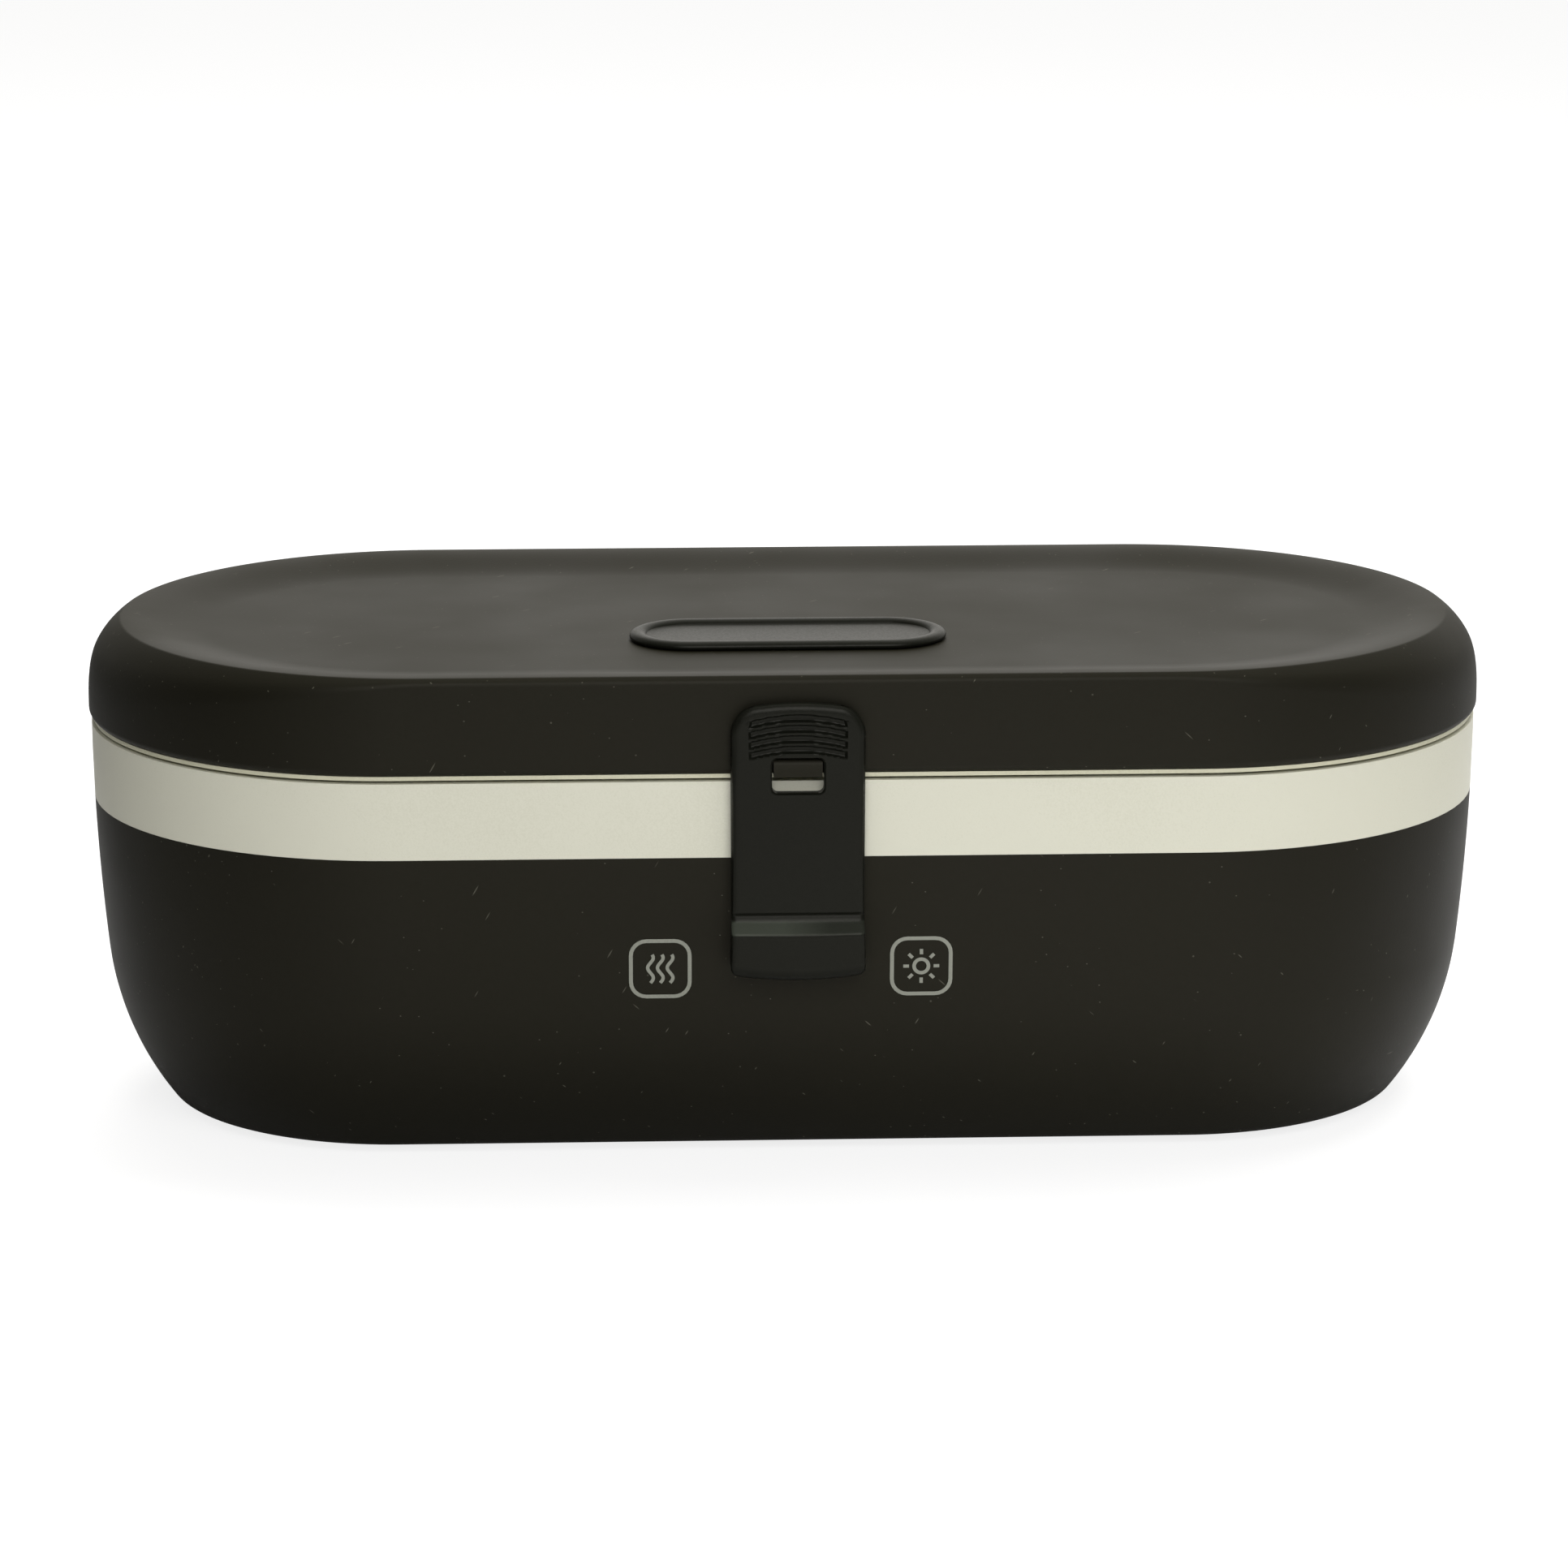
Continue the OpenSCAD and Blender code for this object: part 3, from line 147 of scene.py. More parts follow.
# Injection-moulded plastic or rubber with a fine spark-eroded grain. The real grain is about 0.1 mm,
# drawn at 0.3 mm or coarser so that it shows.
def moulded(name, dark, light, rough=0.42, grain_mm=0.35, depth_mm=0.012, ior=1.53, level=0.5,
            tint="#ffffff"):
    material, tree = blank_material(name)
    where = add(tree, "ShaderNodeTexCoord").outputs["Object"]
    cloud = add(tree, "ShaderNodeTexNoise", {"Vector": where, "Scale": 1 / (60 * MM), "Detail": 2.0})
    grain = add(tree, "ShaderNodeTexNoise", {"Vector": where, "Scale": 1 / (grain_mm * MM), "Detail": 2.0})
    both = add(tree, "ShaderNodeMath", {0: cloud.outputs[0], 1: grain.outputs[0]}, operation="ADD")
    tone = add(tree, "ShaderNodeValToRGB", {"Fac": both.outputs[0]}, [(0.7, dark), (1.0, light)])
    bump = add(tree, "ShaderNodeBump",
               {"Height": grain.outputs[0], "Distance": depth_mm * MM, "Strength": 1.0})
    gloss = add(tree, "ShaderNodeValToRGB", {"Fac": grain.outputs[0]},
                [(0.3, rough - 0.04), (0.7, rough + 0.04)])
    shader = add(tree, "ShaderNodeBsdfPrincipled",
                 {"Base Color": tone.outputs[0], "Normal": bump.outputs[0], "Roughness": gloss.outputs[0]})
    shader.inputs["IOR"].default_value = ior
    shader.inputs["Specular IOR Level"].default_value = level
    shader.inputs["Specular Tint"].default_value = linear(tint)
    add(tree, "ShaderNodeOutputMaterial", {0: shader.outputs[0]})
    return material


# Black ABS of the latch and the vent cover, a touch glossier than the case. The latch's sloped shelf carries
# a
# painted highlight: its colour is paler there, most of all on its left.
SHELF_LOW, SHELF_HIGH, HIGHLIGHT_RIGHT, HIGHLIGHT_LEFT = 49.2, 51.9, 6, -3


def latch_abs():
    material = moulded("moulded_black_abs", "#0e0f0b", "#11120d", 0.38, grain_mm=0.4, depth_mm=0.02,
                       level=0.13, tint="#fffcf2")
    tree = material.node_tree
    shader = tree.nodes["Principled BSDF"]
    plain = shader.inputs["Base Color"].links[0].from_socket
    where = add(tree, "ShaderNodeSeparateXYZ", {0: add(tree, "ShaderNodeTexCoord").outputs["Object"]})
    # Painted highlight: a paler colour on the shelf's band of heights, strongest at the left and fading to
    # the right
    height = add(tree, "ShaderNodeMapRange", {0: where.outputs[2], 1: SHELF_LOW * MM, 2: SHELF_HIGH * MM})
    shelf = add(tree, "ShaderNodeValToRGB", {"Fac": height.outputs[0]},
                [(0.0, 0.0), (0.1, 1.0), (0.8, 1.0), (1.0, 0.0)])
    side = add(tree, "ShaderNodeMapRange",
               {0: where.outputs[0], 1: HIGHLIGHT_RIGHT * MM, 2: HIGHLIGHT_LEFT * MM, 3: 0.3, 4: 1.0})
    painted_highlight = add(tree, "ShaderNodeMath", {0: shelf.outputs[0], 1: side.outputs[0]}, operation="MULTIPLY")
    tone = add(tree, "ShaderNodeMix", {0: painted_highlight.outputs[0], 6: plain, 7: linear("#3b3f37")},
               data_type="RGBA")
    tree.links.new(tone.outputs[2], shader.inputs["Base Color"])
    return material


# Brushed or rolled metal: bright, with fine lines along X that draw out the highlights. The real lines
# are about 0.05 mm apart and are drawn at 0.25 mm so that they show.
LINE_LONG = 36


def lined_metal(name, dark, light, rough=0.28, line_mm=0.25):
    material, tree = blank_material(name)
    where = add(tree, "ShaderNodeTexCoord").outputs["Object"]
    along = add(tree, "ShaderNodeMapping", {"Vector": where, "Scale": (1, LINE_LONG, LINE_LONG)})
    lines = add(tree, "ShaderNodeTexNoise",
                {"Vector": along.outputs[0], "Scale": 1 / (LINE_LONG * line_mm * MM), "Detail": 3.0})
    tone = add(tree, "ShaderNodeValToRGB", {"Fac": lines.outputs[0]}, [(0.3, dark), (0.7, light)])
    bump = add(tree, "ShaderNodeBump", {"Height": lines.outputs[0], "Distance": 0.004 * MM, "Strength": 1.0})
    gloss = add(tree, "ShaderNodeValToRGB", {"Fac": lines.outputs[0]},
                [(0.3, rough - 0.05), (0.7, rough + 0.08)])
    shader = add(tree, "ShaderNodeBsdfPrincipled",
                 {"Base Color": tone.outputs[0], "Normal": bump.outputs[0], "Roughness": gloss.outputs[0]})
    shader.inputs["Metallic"].default_value = 1.0
    add(tree, "ShaderNodeOutputMaterial", {0: shader.outputs[0]})
    return material


# Frosted clear polycarbonate: light passes, and the etched surface blurs it. The real frost is about
# 0.05 mm, drawn at 0.5 mm so that it shows.
def frosted_lens(name):
    material, tree = blank_material(name)
    where = add(tree, "ShaderNodeTexCoord").outputs["Object"]
    frost = add(tree, "ShaderNodeTexNoise", {"Vector": where, "Scale": 1 / (0.5 * MM), "Detail": 2.0})
    bump = add(tree, "ShaderNodeBump", {"Height": frost.outputs[0], "Distance": 0.01 * MM, "Strength": 1.0})
    tone = add(tree, "ShaderNodeValToRGB", {"Fac": frost.outputs[0]}, [(0.3, "#dfe6e9"), (0.7, "#eef2f3")])
    shader = add(tree, "ShaderNodeBsdfPrincipled", {"Base Color": tone.outputs[0], "Normal": bump.outputs[0]})
    shader.inputs["Roughness"].default_value = 0.3
    shader.inputs["Transmission Weight"].default_value = 0.6
    shader.inputs["IOR"].default_value = 1.58
    add(tree, "ShaderNodeOutputMaterial", {0: shader.outputs[0]})
    return material


finishes = {
    # Case: near black, soft and dull
    "case_coat": soft_touch_lacquer("soft_touch_lacquer_on_abs", "#13120b", "#16150d"),
    # Band and inner housing: warm cream with a satin sheen
    "cream_plastic": moulded("moulded_cream_abs", "#d0cfbd", "#d5d4c3"),
    "latch_plastic": latch_abs(),
    # Feet: black and quite dull, with a coarse grain
    "foot_rubber": moulded("moulded_nitrile_rubber", "#141414", "#1b1b1b", 0.8, grain_mm=0.6, depth_mm=0.03),
    # Gasket and seal: flat mid grey with a waxy softness
    "silicone": moulded("moulded_grey_silicone", "#84867a", "#919386", 0.55, grain_mm=0.8, depth_mm=0.01,
                        ior=1.41),
    # Tray: silvery, with highlights drawn out along the brushing
    "pressed_steel": lined_metal("brushed_stainless_steel", "#c3c5c7", "#dddfe1"),
    # Screws, pins and straps: a greyer, duller silver
    "fastener_steel": lined_metal("zinc_plated_steel", "#a9abae", "#c4c6c9", 0.33),
    # Heater plate: pale grey metal with soft rolling lines
    "plate_alloy": lined_metal("rolled_aluminium", "#a0a3a7", "#bdc0c3", 0.36),
    # Heater blocks: darker grey metal with drawn-out lines
    "heater_block": lined_metal("extruded_aluminium", "#85898d", "#a2a6a9", 0.45),
    # Contacts and pads: yellow metal
    "contact_brass": lined_metal("turned_brass", "#bd953f", "#d6ae5c", 0.3),
    # Boards: dark green and smooth
    "circuit_board": moulded("green_solder_mask", "#17533a", "#1f6b4a", 0.3, grain_mm=1.2, depth_mm=0.01),
    # Inlet: black with a light sheen
    "socket_plastic": moulded("moulded_black_nylon", "#161616", "#1e1e1e", 0.4),
    # Key lines: grey and slightly milky while unlit
    "key_line": moulded("frosted_grey_polycarbonate", "#797b70", "#85877b", 0.45, grain_mm=0.5, depth_mm=0.01,
                        ior=1.58),
    # Mat: off-white, rough and dull
    "insulation": moulded("needled_glass_mat", "#e4e1d6", "#efece2", 0.9, grain_mm=1.5, depth_mm=0.3),
    # Thermostat and fuse bodies: dull brown
    "switch_plastic": moulded("moulded_phenolic", "#4d3e31", "#5f4f40", 0.45),
    # Divider: cool white with a slight sheen
    "divider_plastic": moulded("moulded_polypropylene", "#d6d6cf", "#e0e0da", 0.4),
    "lens_plastic": frosted_lens("frosted_clear_polycarbonate"),
}
for entry in frame["record"]["subparts"]:
    solid = nodes[entry["node"]]
    solid.data.materials.clear()
    solid.data.materials.append(finishes[entry["material_slot"]])

# The lid liner is of the same plastic as the band; its colour is darker and yellower, which is painted shade
# under the lid's hem
nodes["lid_liner"].data.materials[0] = moulded("moulded_cream_abs_painted_shade", "#c0bea4", "#c8c6ad")


# Studio: white air, and a pale floor that looks white to the camera and keeps the object's shadow. To
# everything else it is plain paper. It lies 0.2 mm low, so that it never cuts the feet.
FLOOR_HALF, PAPER_NEAR, FLOOR_DROP = 6, 0.35, 0.2 * MM


def build_floor():
    mesh = bpy.data.meshes.new("floor")
    corners = [(u * FLOOR_HALF, v * FLOOR_HALF, 0) for u, v in ((-1, -1), (1, -1), (1, 1), (-1, 1))]
    mesh.from_pydata(corners, [], [(0, 1, 2, 3)])
    floor = bpy.data.objects.new("floor", mesh)
    bpy.context.scene.collection.objects.link(floor)
    material, tree = blank_material("pale_floor_paper")
    rays = add(tree, "ShaderNodeLightPath")
    # The paper mirrored in the case is painted darker at both sides, most of all at the left: painted shade
    where = add(tree, "ShaderNodeSeparateXYZ", {0: add(tree, "ShaderNodeTexCoord").outputs["Object"]})
    fall = add(tree, "ShaderNodeMapRange", {0: where.outputs[0], 1: -PAPER_NEAR, 2: PAPER_NEAR})
    tone = add(tree, "ShaderNodeValToRGB", {"Fac": fall.outputs[0]},
               [(0.0, "#6c6c6c"), (0.6, "#f0f0f0"), (0.75, "#d4d4d4"), (1.0, "#a8a8a8")])
    paper = add(tree, "ShaderNodeBsdfDiffuse", {"Color": tone.outputs[0]})
    shade = add(tree, "ShaderNodeBsdfDiffuse", {"Color": (0.24, 0.24, 0.24, 1)})
    white = add(tree, "ShaderNodeEmission", {"Color": (1, 1, 1, 1), "Strength": 0.82})
    seen = add(tree, "ShaderNodeAddShader", {0: shade.outputs[0], 1: white.outputs[0]})
    blend = add(tree, "ShaderNodeMixShader",
                {0: rays.outputs["Is Camera Ray"], 1: paper.outputs[0], 2: seen.outputs[0]})
    add(tree, "ShaderNodeOutputMaterial", {0: blend.outputs[0]})
    mesh.materials.append(material)
    floor.location.z = -FLOOR_DROP


def build_light(name, size, at, toward, watts, mirrored=True):
    data = bpy.data.lights.new(name, "AREA")
    data.shape = "RECTANGLE"
    data.size, data.size_y = size
    data.energy = watts
    lamp = bpy.data.objects.new(name, data)
    lamp.location = at
    lamp.rotation_euler = (Vector(at) - Vector(toward)).to_track_quat("Z", "Y").to_euler()
    lamp.visible_glossy = mirrored
    bpy.context.scene.collection.objects.link(lamp)


AIR_LEAN, AIR_LEVEL, AIR_LEAST = (0.04, 0.76, 0.06), 0.58, 0.04


def build_air():
    world = bpy.data.worlds.new("studio_air")
    bpy.context.scene.world = world
    world.use_nodes = True
    tree = world.node_tree
    tree.nodes.clear()
    rays = add(tree, "ShaderNodeLightPath")
    # The white sweep is brightest right behind the box and fades at both sides, most of all at the left
    toward = add(tree, "ShaderNodeTexCoord").outputs["Generated"]
    lean = add(tree, "ShaderNodeVectorMath", {0: toward, 1: AIR_LEAN}, operation="DOT_PRODUCT")
    level = add(tree, "ShaderNodeMath", {0: lean.outputs["Value"], 1: AIR_LEVEL}, operation="ADD")
    parts = add(tree, "ShaderNodeSeparateXYZ", {0: toward})
    across = add(tree, "ShaderNodeMapRange", {0: parts.outputs[0], 1: -1.0, 2: 1.0})
    side = add(tree, "ShaderNodeValToRGB", {"Fac": across.outputs[0]},
               [(0.0, 0.3), (0.3, 0.38), (0.47, 1.0), (0.6, 1.0), (0.8, 0.62), (1.0, 0.75)])
    level = add(tree, "ShaderNodeMath", {0: level.outputs[0], 1: side.outputs[0]}, operation="MULTIPLY")
    level = add(tree, "ShaderNodeMath", {0: level.outputs[0], 1: AIR_LEAST}, operation="MAXIMUM")
    soft = add(tree, "ShaderNodeBackground", {"Color": linear("#fffcf6"), "Strength": level.outputs[0]})
    plain = add(tree, "ShaderNodeBackground", {"Color": (1, 1, 1, 1), "Strength": 1.0})
    through = add(tree, "ShaderNodeMath",
                  {0: rays.outputs["Is Camera Ray"], 1: rays.outputs["Is Transmission Ray"]},
                  operation="MAXIMUM")
    blend = add(tree, "ShaderNodeMixShader", {0: through.outputs[0], 1: soft.outputs[0], 2: plain.outputs[0]})
    add(tree, "ShaderNodeOutputWorld", {0: blend.outputs[0]})


build_floor()
build_air()
# The overhead lamp is left out of reflections, or the far slope of the dish would mirror it
build_light("overhead_softbox", (1.2, 0.8), at=(0.2, 0.4, 1.2), toward=(0, 0, 0.08), watts=24, mirrored=False)
build_light("front_fill", (1.0, 0.8), at=(0.08, -1.15, 0.85), toward=(0, 0, 0.05), watts=11.8)


# Shapes. All of these take millimetres.
def circle(radius, count=48):
    return [(radius * math.cos(2 * math.pi * i / count), radius * math.sin(2 * math.pi * i / count))
            for i in range(count)]


def soft_rect(width, height, radius, steps=6):
    outline = []
    for turn in range(4):
        middle_u = (width / 2 - radius) * (1 if turn in (0, 3) else -1)
        middle_v = (height / 2 - radius) * (1 if turn < 2 else -1)
        for i in range(steps + 1):
            a = math.pi / 2 * (turn + i / steps)
            outline.append((middle_u + radius * math.cos(a), middle_v + radius * math.sin(a)))
    return outline


def pill_outline(half, radius, steps=32):
    return [(side * half + radius * math.cos(a), radius * math.sin(a))
            for side in (1, -1) for a in [math.pi * (i / steps - 0.5 + (side < 0)) for i in range(steps + 1)]]


def ring(axis, at, centre, outline):
    """Lays a flat outline across an axis, round a centre given in the other two axes."""
    points = []
    for u, v in outline:
        place = [centre[0] + u, centre[1] + v]
        place.insert("xyz".index(axis), at)
        points.append(tuple(place))
    return points


def loft(rings):
    """Solid through rings of equal count, closed at both ends."""
    count = len(rings[0])
    points = [point for one in rings for point in one]
    faces = [tuple(reversed(range(count))), tuple(range(len(points) - count, len(points)))]
    for k in range(0, len(points) - count, count):
        for i in range(count):
            j = (i + 1) % count
            faces.append((k + i, k + j, k + count + j, k + count + i))
    return points, faces


def rod(axis, centre, *stations, count=48):
    """Round solid along an axis, through stations of place and radius."""
    return loft([ring(axis, at, centre, circle(radius, count)) for at, radius in stations])


def bar(half_width, side_view):
    """Solid of one side view, evenly to both sides of the middle."""
    return loft([ring("x", x, (0, 0), side_view) for x in (-half_width, half_width)])


def pill_loft(half, section, steps=72):
    """Solid round a pill. section(angle) gives its radius and height, closed by flat faces at both ends."""
    columns = []
    for side in (1, -1):
        for i in range(steps + 1):
            a = math.pi * (i / steps - 0.5 + (side < 0))
            columns.append([(side * half + r * math.cos(a), r * math.sin(a), z) for r, z in section(a)])
    return loft([list(row) for row in zip(*columns)])


def make_solid(name, *parts):
    points, faces = [], []
    for more_points, more_faces in parts:
        faces += [tuple(i + len(points) for i in face) for face in more_faces]
        points += more_points
    mesh = bpy.data.meshes.new(name)
    mesh.from_pydata([Vector(point) * MM for point in points], [], faces)
    work = bmesh.new()
    work.from_mesh(mesh)
    bmesh.ops.remove_doubles(work, verts=work.verts, dist=0.0005 * MM)
    bmesh.ops.recalc_face_normals(work, faces=work.faces)
    work.to_mesh(mesh)
    work.free()
    solid = bpy.data.objects.new(name, mesh)
    bpy.context.scene.collection.objects.link(solid)
    return solid


def carve(piece, operation, *parts):
    """Joins parts to a piece (UNION) or cuts them out of it (DIFFERENCE)."""
    tool = make_solid("tool", *parts)
    change = piece.modifiers.new("carve", "BOOLEAN")
    change.operation = operation
    change.solver = "EXACT"
    change.object = tool
    old = piece.data
    mesh = bpy.data.meshes.new_from_object(piece.evaluated_get(bpy.context.evaluated_depsgraph_get()))
    piece.modifiers.clear()
    piece.data = mesh
    bpy.data.meshes.remove(old)
    bpy.data.meshes.remove(tool.data)


def settle(piece, body, finish, *replaced, crease=32):
    """Smooths a piece between its creases, gives it its finish and puts it on its body."""
    mesh = piece.data
    mesh.materials.clear()
    mesh.materials.append(finishes[finish])
    mesh.polygons.foreach_set("use_smooth", [True] * len(mesh.polygons))
    mesh.set_sharp_from_angle(angle=math.radians(crease))
    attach(piece, body)
    if replaced:
        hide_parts(*replaced)


def arc(centre, radius, start, end, steps):
    """Points on an arc between two angles in degrees."""
    return [(centre[0] + radius * math.cos(math.radians(start + (end - start) * i / steps)),
             centre[1] + radius * math.sin(math.radians(start + (end - start) * i / steps)))
            for i in range(steps + 1)]


def curve_corner(a, corner, b, steps):
    """Smooth curve from a to b that leaves each along the line to the corner."""
    return [tuple((1 - t) ** 2 * p + 2 * t * (1 - t) * q + t * t * r for p, q, r in zip(a, corner, b))
            for t in [i / steps for i in range(steps + 1)]]


# Case measures, from the CAD. HALF_D is half the depth, and END_X where the round ends have their centres.
HALF_D, END_X = 62.0, 78.0
Z_SHELL, Z_BAND, Z_RIM, Z_LID, Z_CEILING, Z_DISH = 1.5, 63.5, 78.7, 80.1, 94.5, 97.0
WALL = 2.5
# The wall is one bowed arc down to TOE_TOP and a tighter one from there to the foot
BOW_X, BOW_R = -398.5, 460.0
TOE_X, TOE_Z, TOE_R, TOE_TOP = -0.522, 38.526, 60.0, 32.5
TOE_START, TOE_START_INSIDE, TOE_END = -5.766, -6.02, -36.9
# Pins of the latch, the vent cover and the lid, and the middle of the vent
PIVOT = PIVOT_Y, PIVOT_Z = -63.9, 42.8
VENT_PIN_Y, VENT_Y, VENT_HALF = -3.7, -17.0, 13
VENT_PIN = VENT_PIN_Y, 97.1
HINGE, BARREL_R = (65.5, 78.5), 3.0


def wall_at(z, inset=0.0):
    """Distance of the bowed wall from the middle plane."""
    if z > TOE_TOP:
        return BOW_X + math.sqrt((BOW_R - inset) ** 2 - (z - Z_RIM) ** 2)
    return TOE_X + math.sqrt((TOE_R - inset) ** 2 - (z - TOE_Z) ** 2)


# Lower shell: one smooth bowl, with its foot seats, screw wells, inlet pocket and latch lug
POST_OUT, POST_R, SEAT_OUT, SEAT_R = 42, 4.3, 30, 7.2
INLET_Z, SURROUND_HALF, SURROUND_LOW, SURROUND_TALL = 15.5, 13.2, 8.05, 14.9
LUG_HALF, LUG_R = 7, 2
# Inlet pocket from inside to outside: place along Y, width, height and corner radius
INLET_STEPS = (
    (45, 19.8, 10.8, 3.0), (49.99, 19.8, 10.8, 3.0), (50, 21.8, 12.8, 3.5), (58, 21.8, 12.8, 3.5),
    (66, 23.4, 14.4, 4.3),
)


def bowed_wall(steps, inset=0.0):
    """Section of the bowed part of the wall, from the tighter arc up to the band."""
    levels = [TOE_TOP + (Z_BAND - TOE_TOP) * i / steps for i in range(steps + 1)]
    return [(wall_at(z, inset), z) for z in levels]


def build_lower_shell():
    outer = bowed_wall(16)[::-1]
    toe = arc((TOE_X, TOE_Z), TOE_R, TOE_START, TOE_END, 40)[1:]
    foot_corner = (wall_at(Z_SHELL), Z_SHELL)
    outer += toe[:-1] + curve_corner(toe[-1], foot_corner, (foot_corner[0] - 1.6, Z_SHELL), 5)
    inner = arc((TOE_X, TOE_Z), TOE_R - WALL, TOE_END, TOE_START_INSIDE, 20)[:-1] + bowed_wall(8, WALL)
    section = inner + outer
    shell = make_solid("case_bowl", pill_loft(END_X, lambda angle: section))

    corners = [(sx, sy) for sx in (1, -1) for sy in (1, -1)]
    diagonal = POST_OUT * math.sqrt(0.5)
    posts = [(sx * (END_X + diagonal), sy * diagonal) for sx, sy in corners]
    levels = [SURROUND_LOW + SURROUND_TALL * i / 10 for i in range(11)]
    surround = [(47.5, levels[0]), *((wall_at(z) - 1.2, z) for z in levels), (47.5, levels[-1])]
    bosses = [rod("z", post, (2.8, POST_R), (9, POST_R)) for post in posts]
    carve(shell, "UNION", *bosses, bar(SURROUND_HALF, surround))
    web_y = -wall_at(PIVOT_Z) + WALL / 2
    web = [(y, PIVOT_Z + up) for y, up in ((PIVOT_Y, -1), (web_y, -1), (web_y, 1), (PIVOT_Y, 1))]
    carve(shell, "UNION", bar(LUG_HALF, web))
    carve(shell, "UNION", rod("x", PIVOT, (-LUG_HALF, LUG_R), (LUG_HALF, LUG_R)))

    seats = [rod("z", (sx * END_X, sy * SEAT_OUT), (0.5, SEAT_R), (2.5, SEAT_R), count=64)
             for sx, sy in corners]
    wells = [rod("z", post, (0.5, 3), (4.5, 3), (4.51, 1.6), (10, 1.6)) for post in posts]
    inlet = loft([ring("y", y, (0, INLET_Z), soft_rect(w, h, r)) for y, w, h, r in INLET_STEPS])
    bore = rod("x", PIVOT, (-8, 1.1), (8, 1.1))
    carve(shell, "DIFFERENCE", *seats, *wells, inlet, bore)
    settle(shell, "base", "case_coat", "lower_shell")


# Lid: a straight side that runs into a shoulder, with a rounding that widens towards the ends, then the
# ridge and a soft slope down to the flat of the dish. It stands for the lid's nub, hinge barrel, vent seat
# and vent lugs too. SHOULDER and RIDGE are a centre and a radius in the section.
TOP_END_X, SHOULDER, RIDGE, SLOPE_W = 72.5, (51.7, 86.2, 16.0), (60.5, 98.35, 1.0), 17.0
HEM_R, RUN_OUT, RUN_OUT_ENDS = 1.5, 0.7, 4.6
# Side views of the catch nub at the front and of the web that carries the hinge barrel
NUB = (-60.5, 80.1), (-60.5, 83.5), (-63.6, 83.5), (-64.2, 83.1), (-64.5, 82.5), (-64.5, 80.1)
HINGE_WEB = (60.5, 80.11), (60.5, 88.1), (61.95, 88.1), (68.05, 80.0), (65.5, 77.75), (62.95, 80.11)
LUG_IN, LUG_OUT = 13.7, 16.7


def side_at(angle, radius):
    """Distance from the centre of the shorter pill to the straight side, in one direction."""
    shift = END_X - TOP_END_X
    far = shift * abs(math.cos(angle)) + math.sqrt(radius ** 2 - (shift * math.sin(angle)) ** 2)
    if far * abs(math.cos(angle)) >= shift:
        return far
    return radius / abs(math.sin(angle))


def lid_section(angle):
    """Section of the lid in one direction, from its ceiling round the hem and the ridge into the dish."""
    across = abs(math.cos(angle))
    side, inside = side_at(angle, HALF_D), side_at(angle, HALF_D - WALL)
    shoulder_x, shoulder_z, shoulder_r = SHOULDER
    hollow_r = shoulder_r - WALL
    ceiling_turn = math.degrees(math.asin((Z_CEILING - shoulder_z) / hollow_r))
    hollow_turn = min(ceiling_turn - 1, math.degrees(math.acos(min(1, (inside - shoulder_x) / hollow_r))))
    hollow = [(min(r, inside), min(z, Z_CEILING))
              for r, z in arc((shoulder_x, shoulder_z), hollow_r, ceiling_turn, hollow_turn, 8)]
    hem = arc((side - HEM_R, Z_LID + HEM_R), HEM_R, -90, 0, 8)
    # A smooth curve takes the place of the edge where the side and the shoulder cross
    cross_turn = math.acos((side - shoulder_x) / shoulder_r)
    cross_z = shoulder_z + shoulder_r * math.sin(cross_turn)
    reach = RUN_OUT + RUN_OUT_ENDS * across ** 1.5
    leave = math.degrees(cross_turn + reach / shoulder_r)
    ridge_turn = math.degrees(math.atan2(RIDGE[1] - shoulder_z, RIDGE[0] - shoulder_x))
    shoulder = arc((shoulder_x, shoulder_z), shoulder_r, leave, ridge_turn, 14)
    lean = math.tan(math.radians(leave))
    corner_z = shoulder[0][1] + (shoulder[0][0] - side) / lean
    below = corner_z - 1.2 * reach if corner_z < cross_z else cross_z - reach
    rounding = curve_corner((side, min(below, corner_z - 0.8)), (side, corner_z), shoulder[0], 10)
    ridge = arc(RIDGE[:2], RIDGE[2], ridge_turn, 90, 8)[1:]
    depth = RIDGE[1] + RIDGE[2] - Z_DISH
    dish = [(RIDGE[0] - SLOPE_W * t, Z_DISH + depth * (0.5 + 0.5 * math.cos(math.pi * t)))
            for t in [i / 20 for i in range(1, 21)]]
    return [*hollow, (inside, Z_LID), *hem, *rounding, *shoulder[1:], *ridge, *dish]


def build_lid():
    lid = make_solid("lid_cover", pill_loft(TOP_END_X, lid_section, 90))
    seat = loft([ring("z", z, (0, VENT_Y), pill_outline(VENT_HALF, 8)) for z in (88, 94.7)])
    lugs = [rod("x", VENT_PIN, (s * LUG_IN, 1), (s * LUG_OUT, 1)) for s in (-1, 1)]
    carve(lid, "UNION", bar(4.7, NUB), seat, *lugs)
    carve(lid, "UNION", bar(19.9, HINGE_WEB))
    carve(lid, "UNION", rod("x", HINGE, (-20, BARREL_R), (20, BARREL_R), count=64))

    recess = loft([ring("z", z, (0, VENT_Y), pill_outline(VENT_HALF, r))
                   for z, r in ((94.9, 5.2), (95.2, 5.5), (96.7, 5.5), (99, 7.8))])
    pin_bore = rod("x", HINGE, (-21, 1.6), (21, 1.6))
    groove = rod("x", VENT_PIN, (-17, 0.6), (-LUG_IN - 0.01, 0.6), (-LUG_IN, 1.3), (LUG_IN, 1.3),
                 (LUG_IN + 0.01, 0.6), (17, 0.6))
    carve(lid, "DIFFERENCE", recess, pin_bore, groove)
    carve(lid, "DIFFERENCE", *(rod("z", (x, VENT_Y), (86, 1.5), (96, 1.5)) for x in (-10, 0, 10)))
    settle(lid, "lid", "case_coat", "lid_shell")


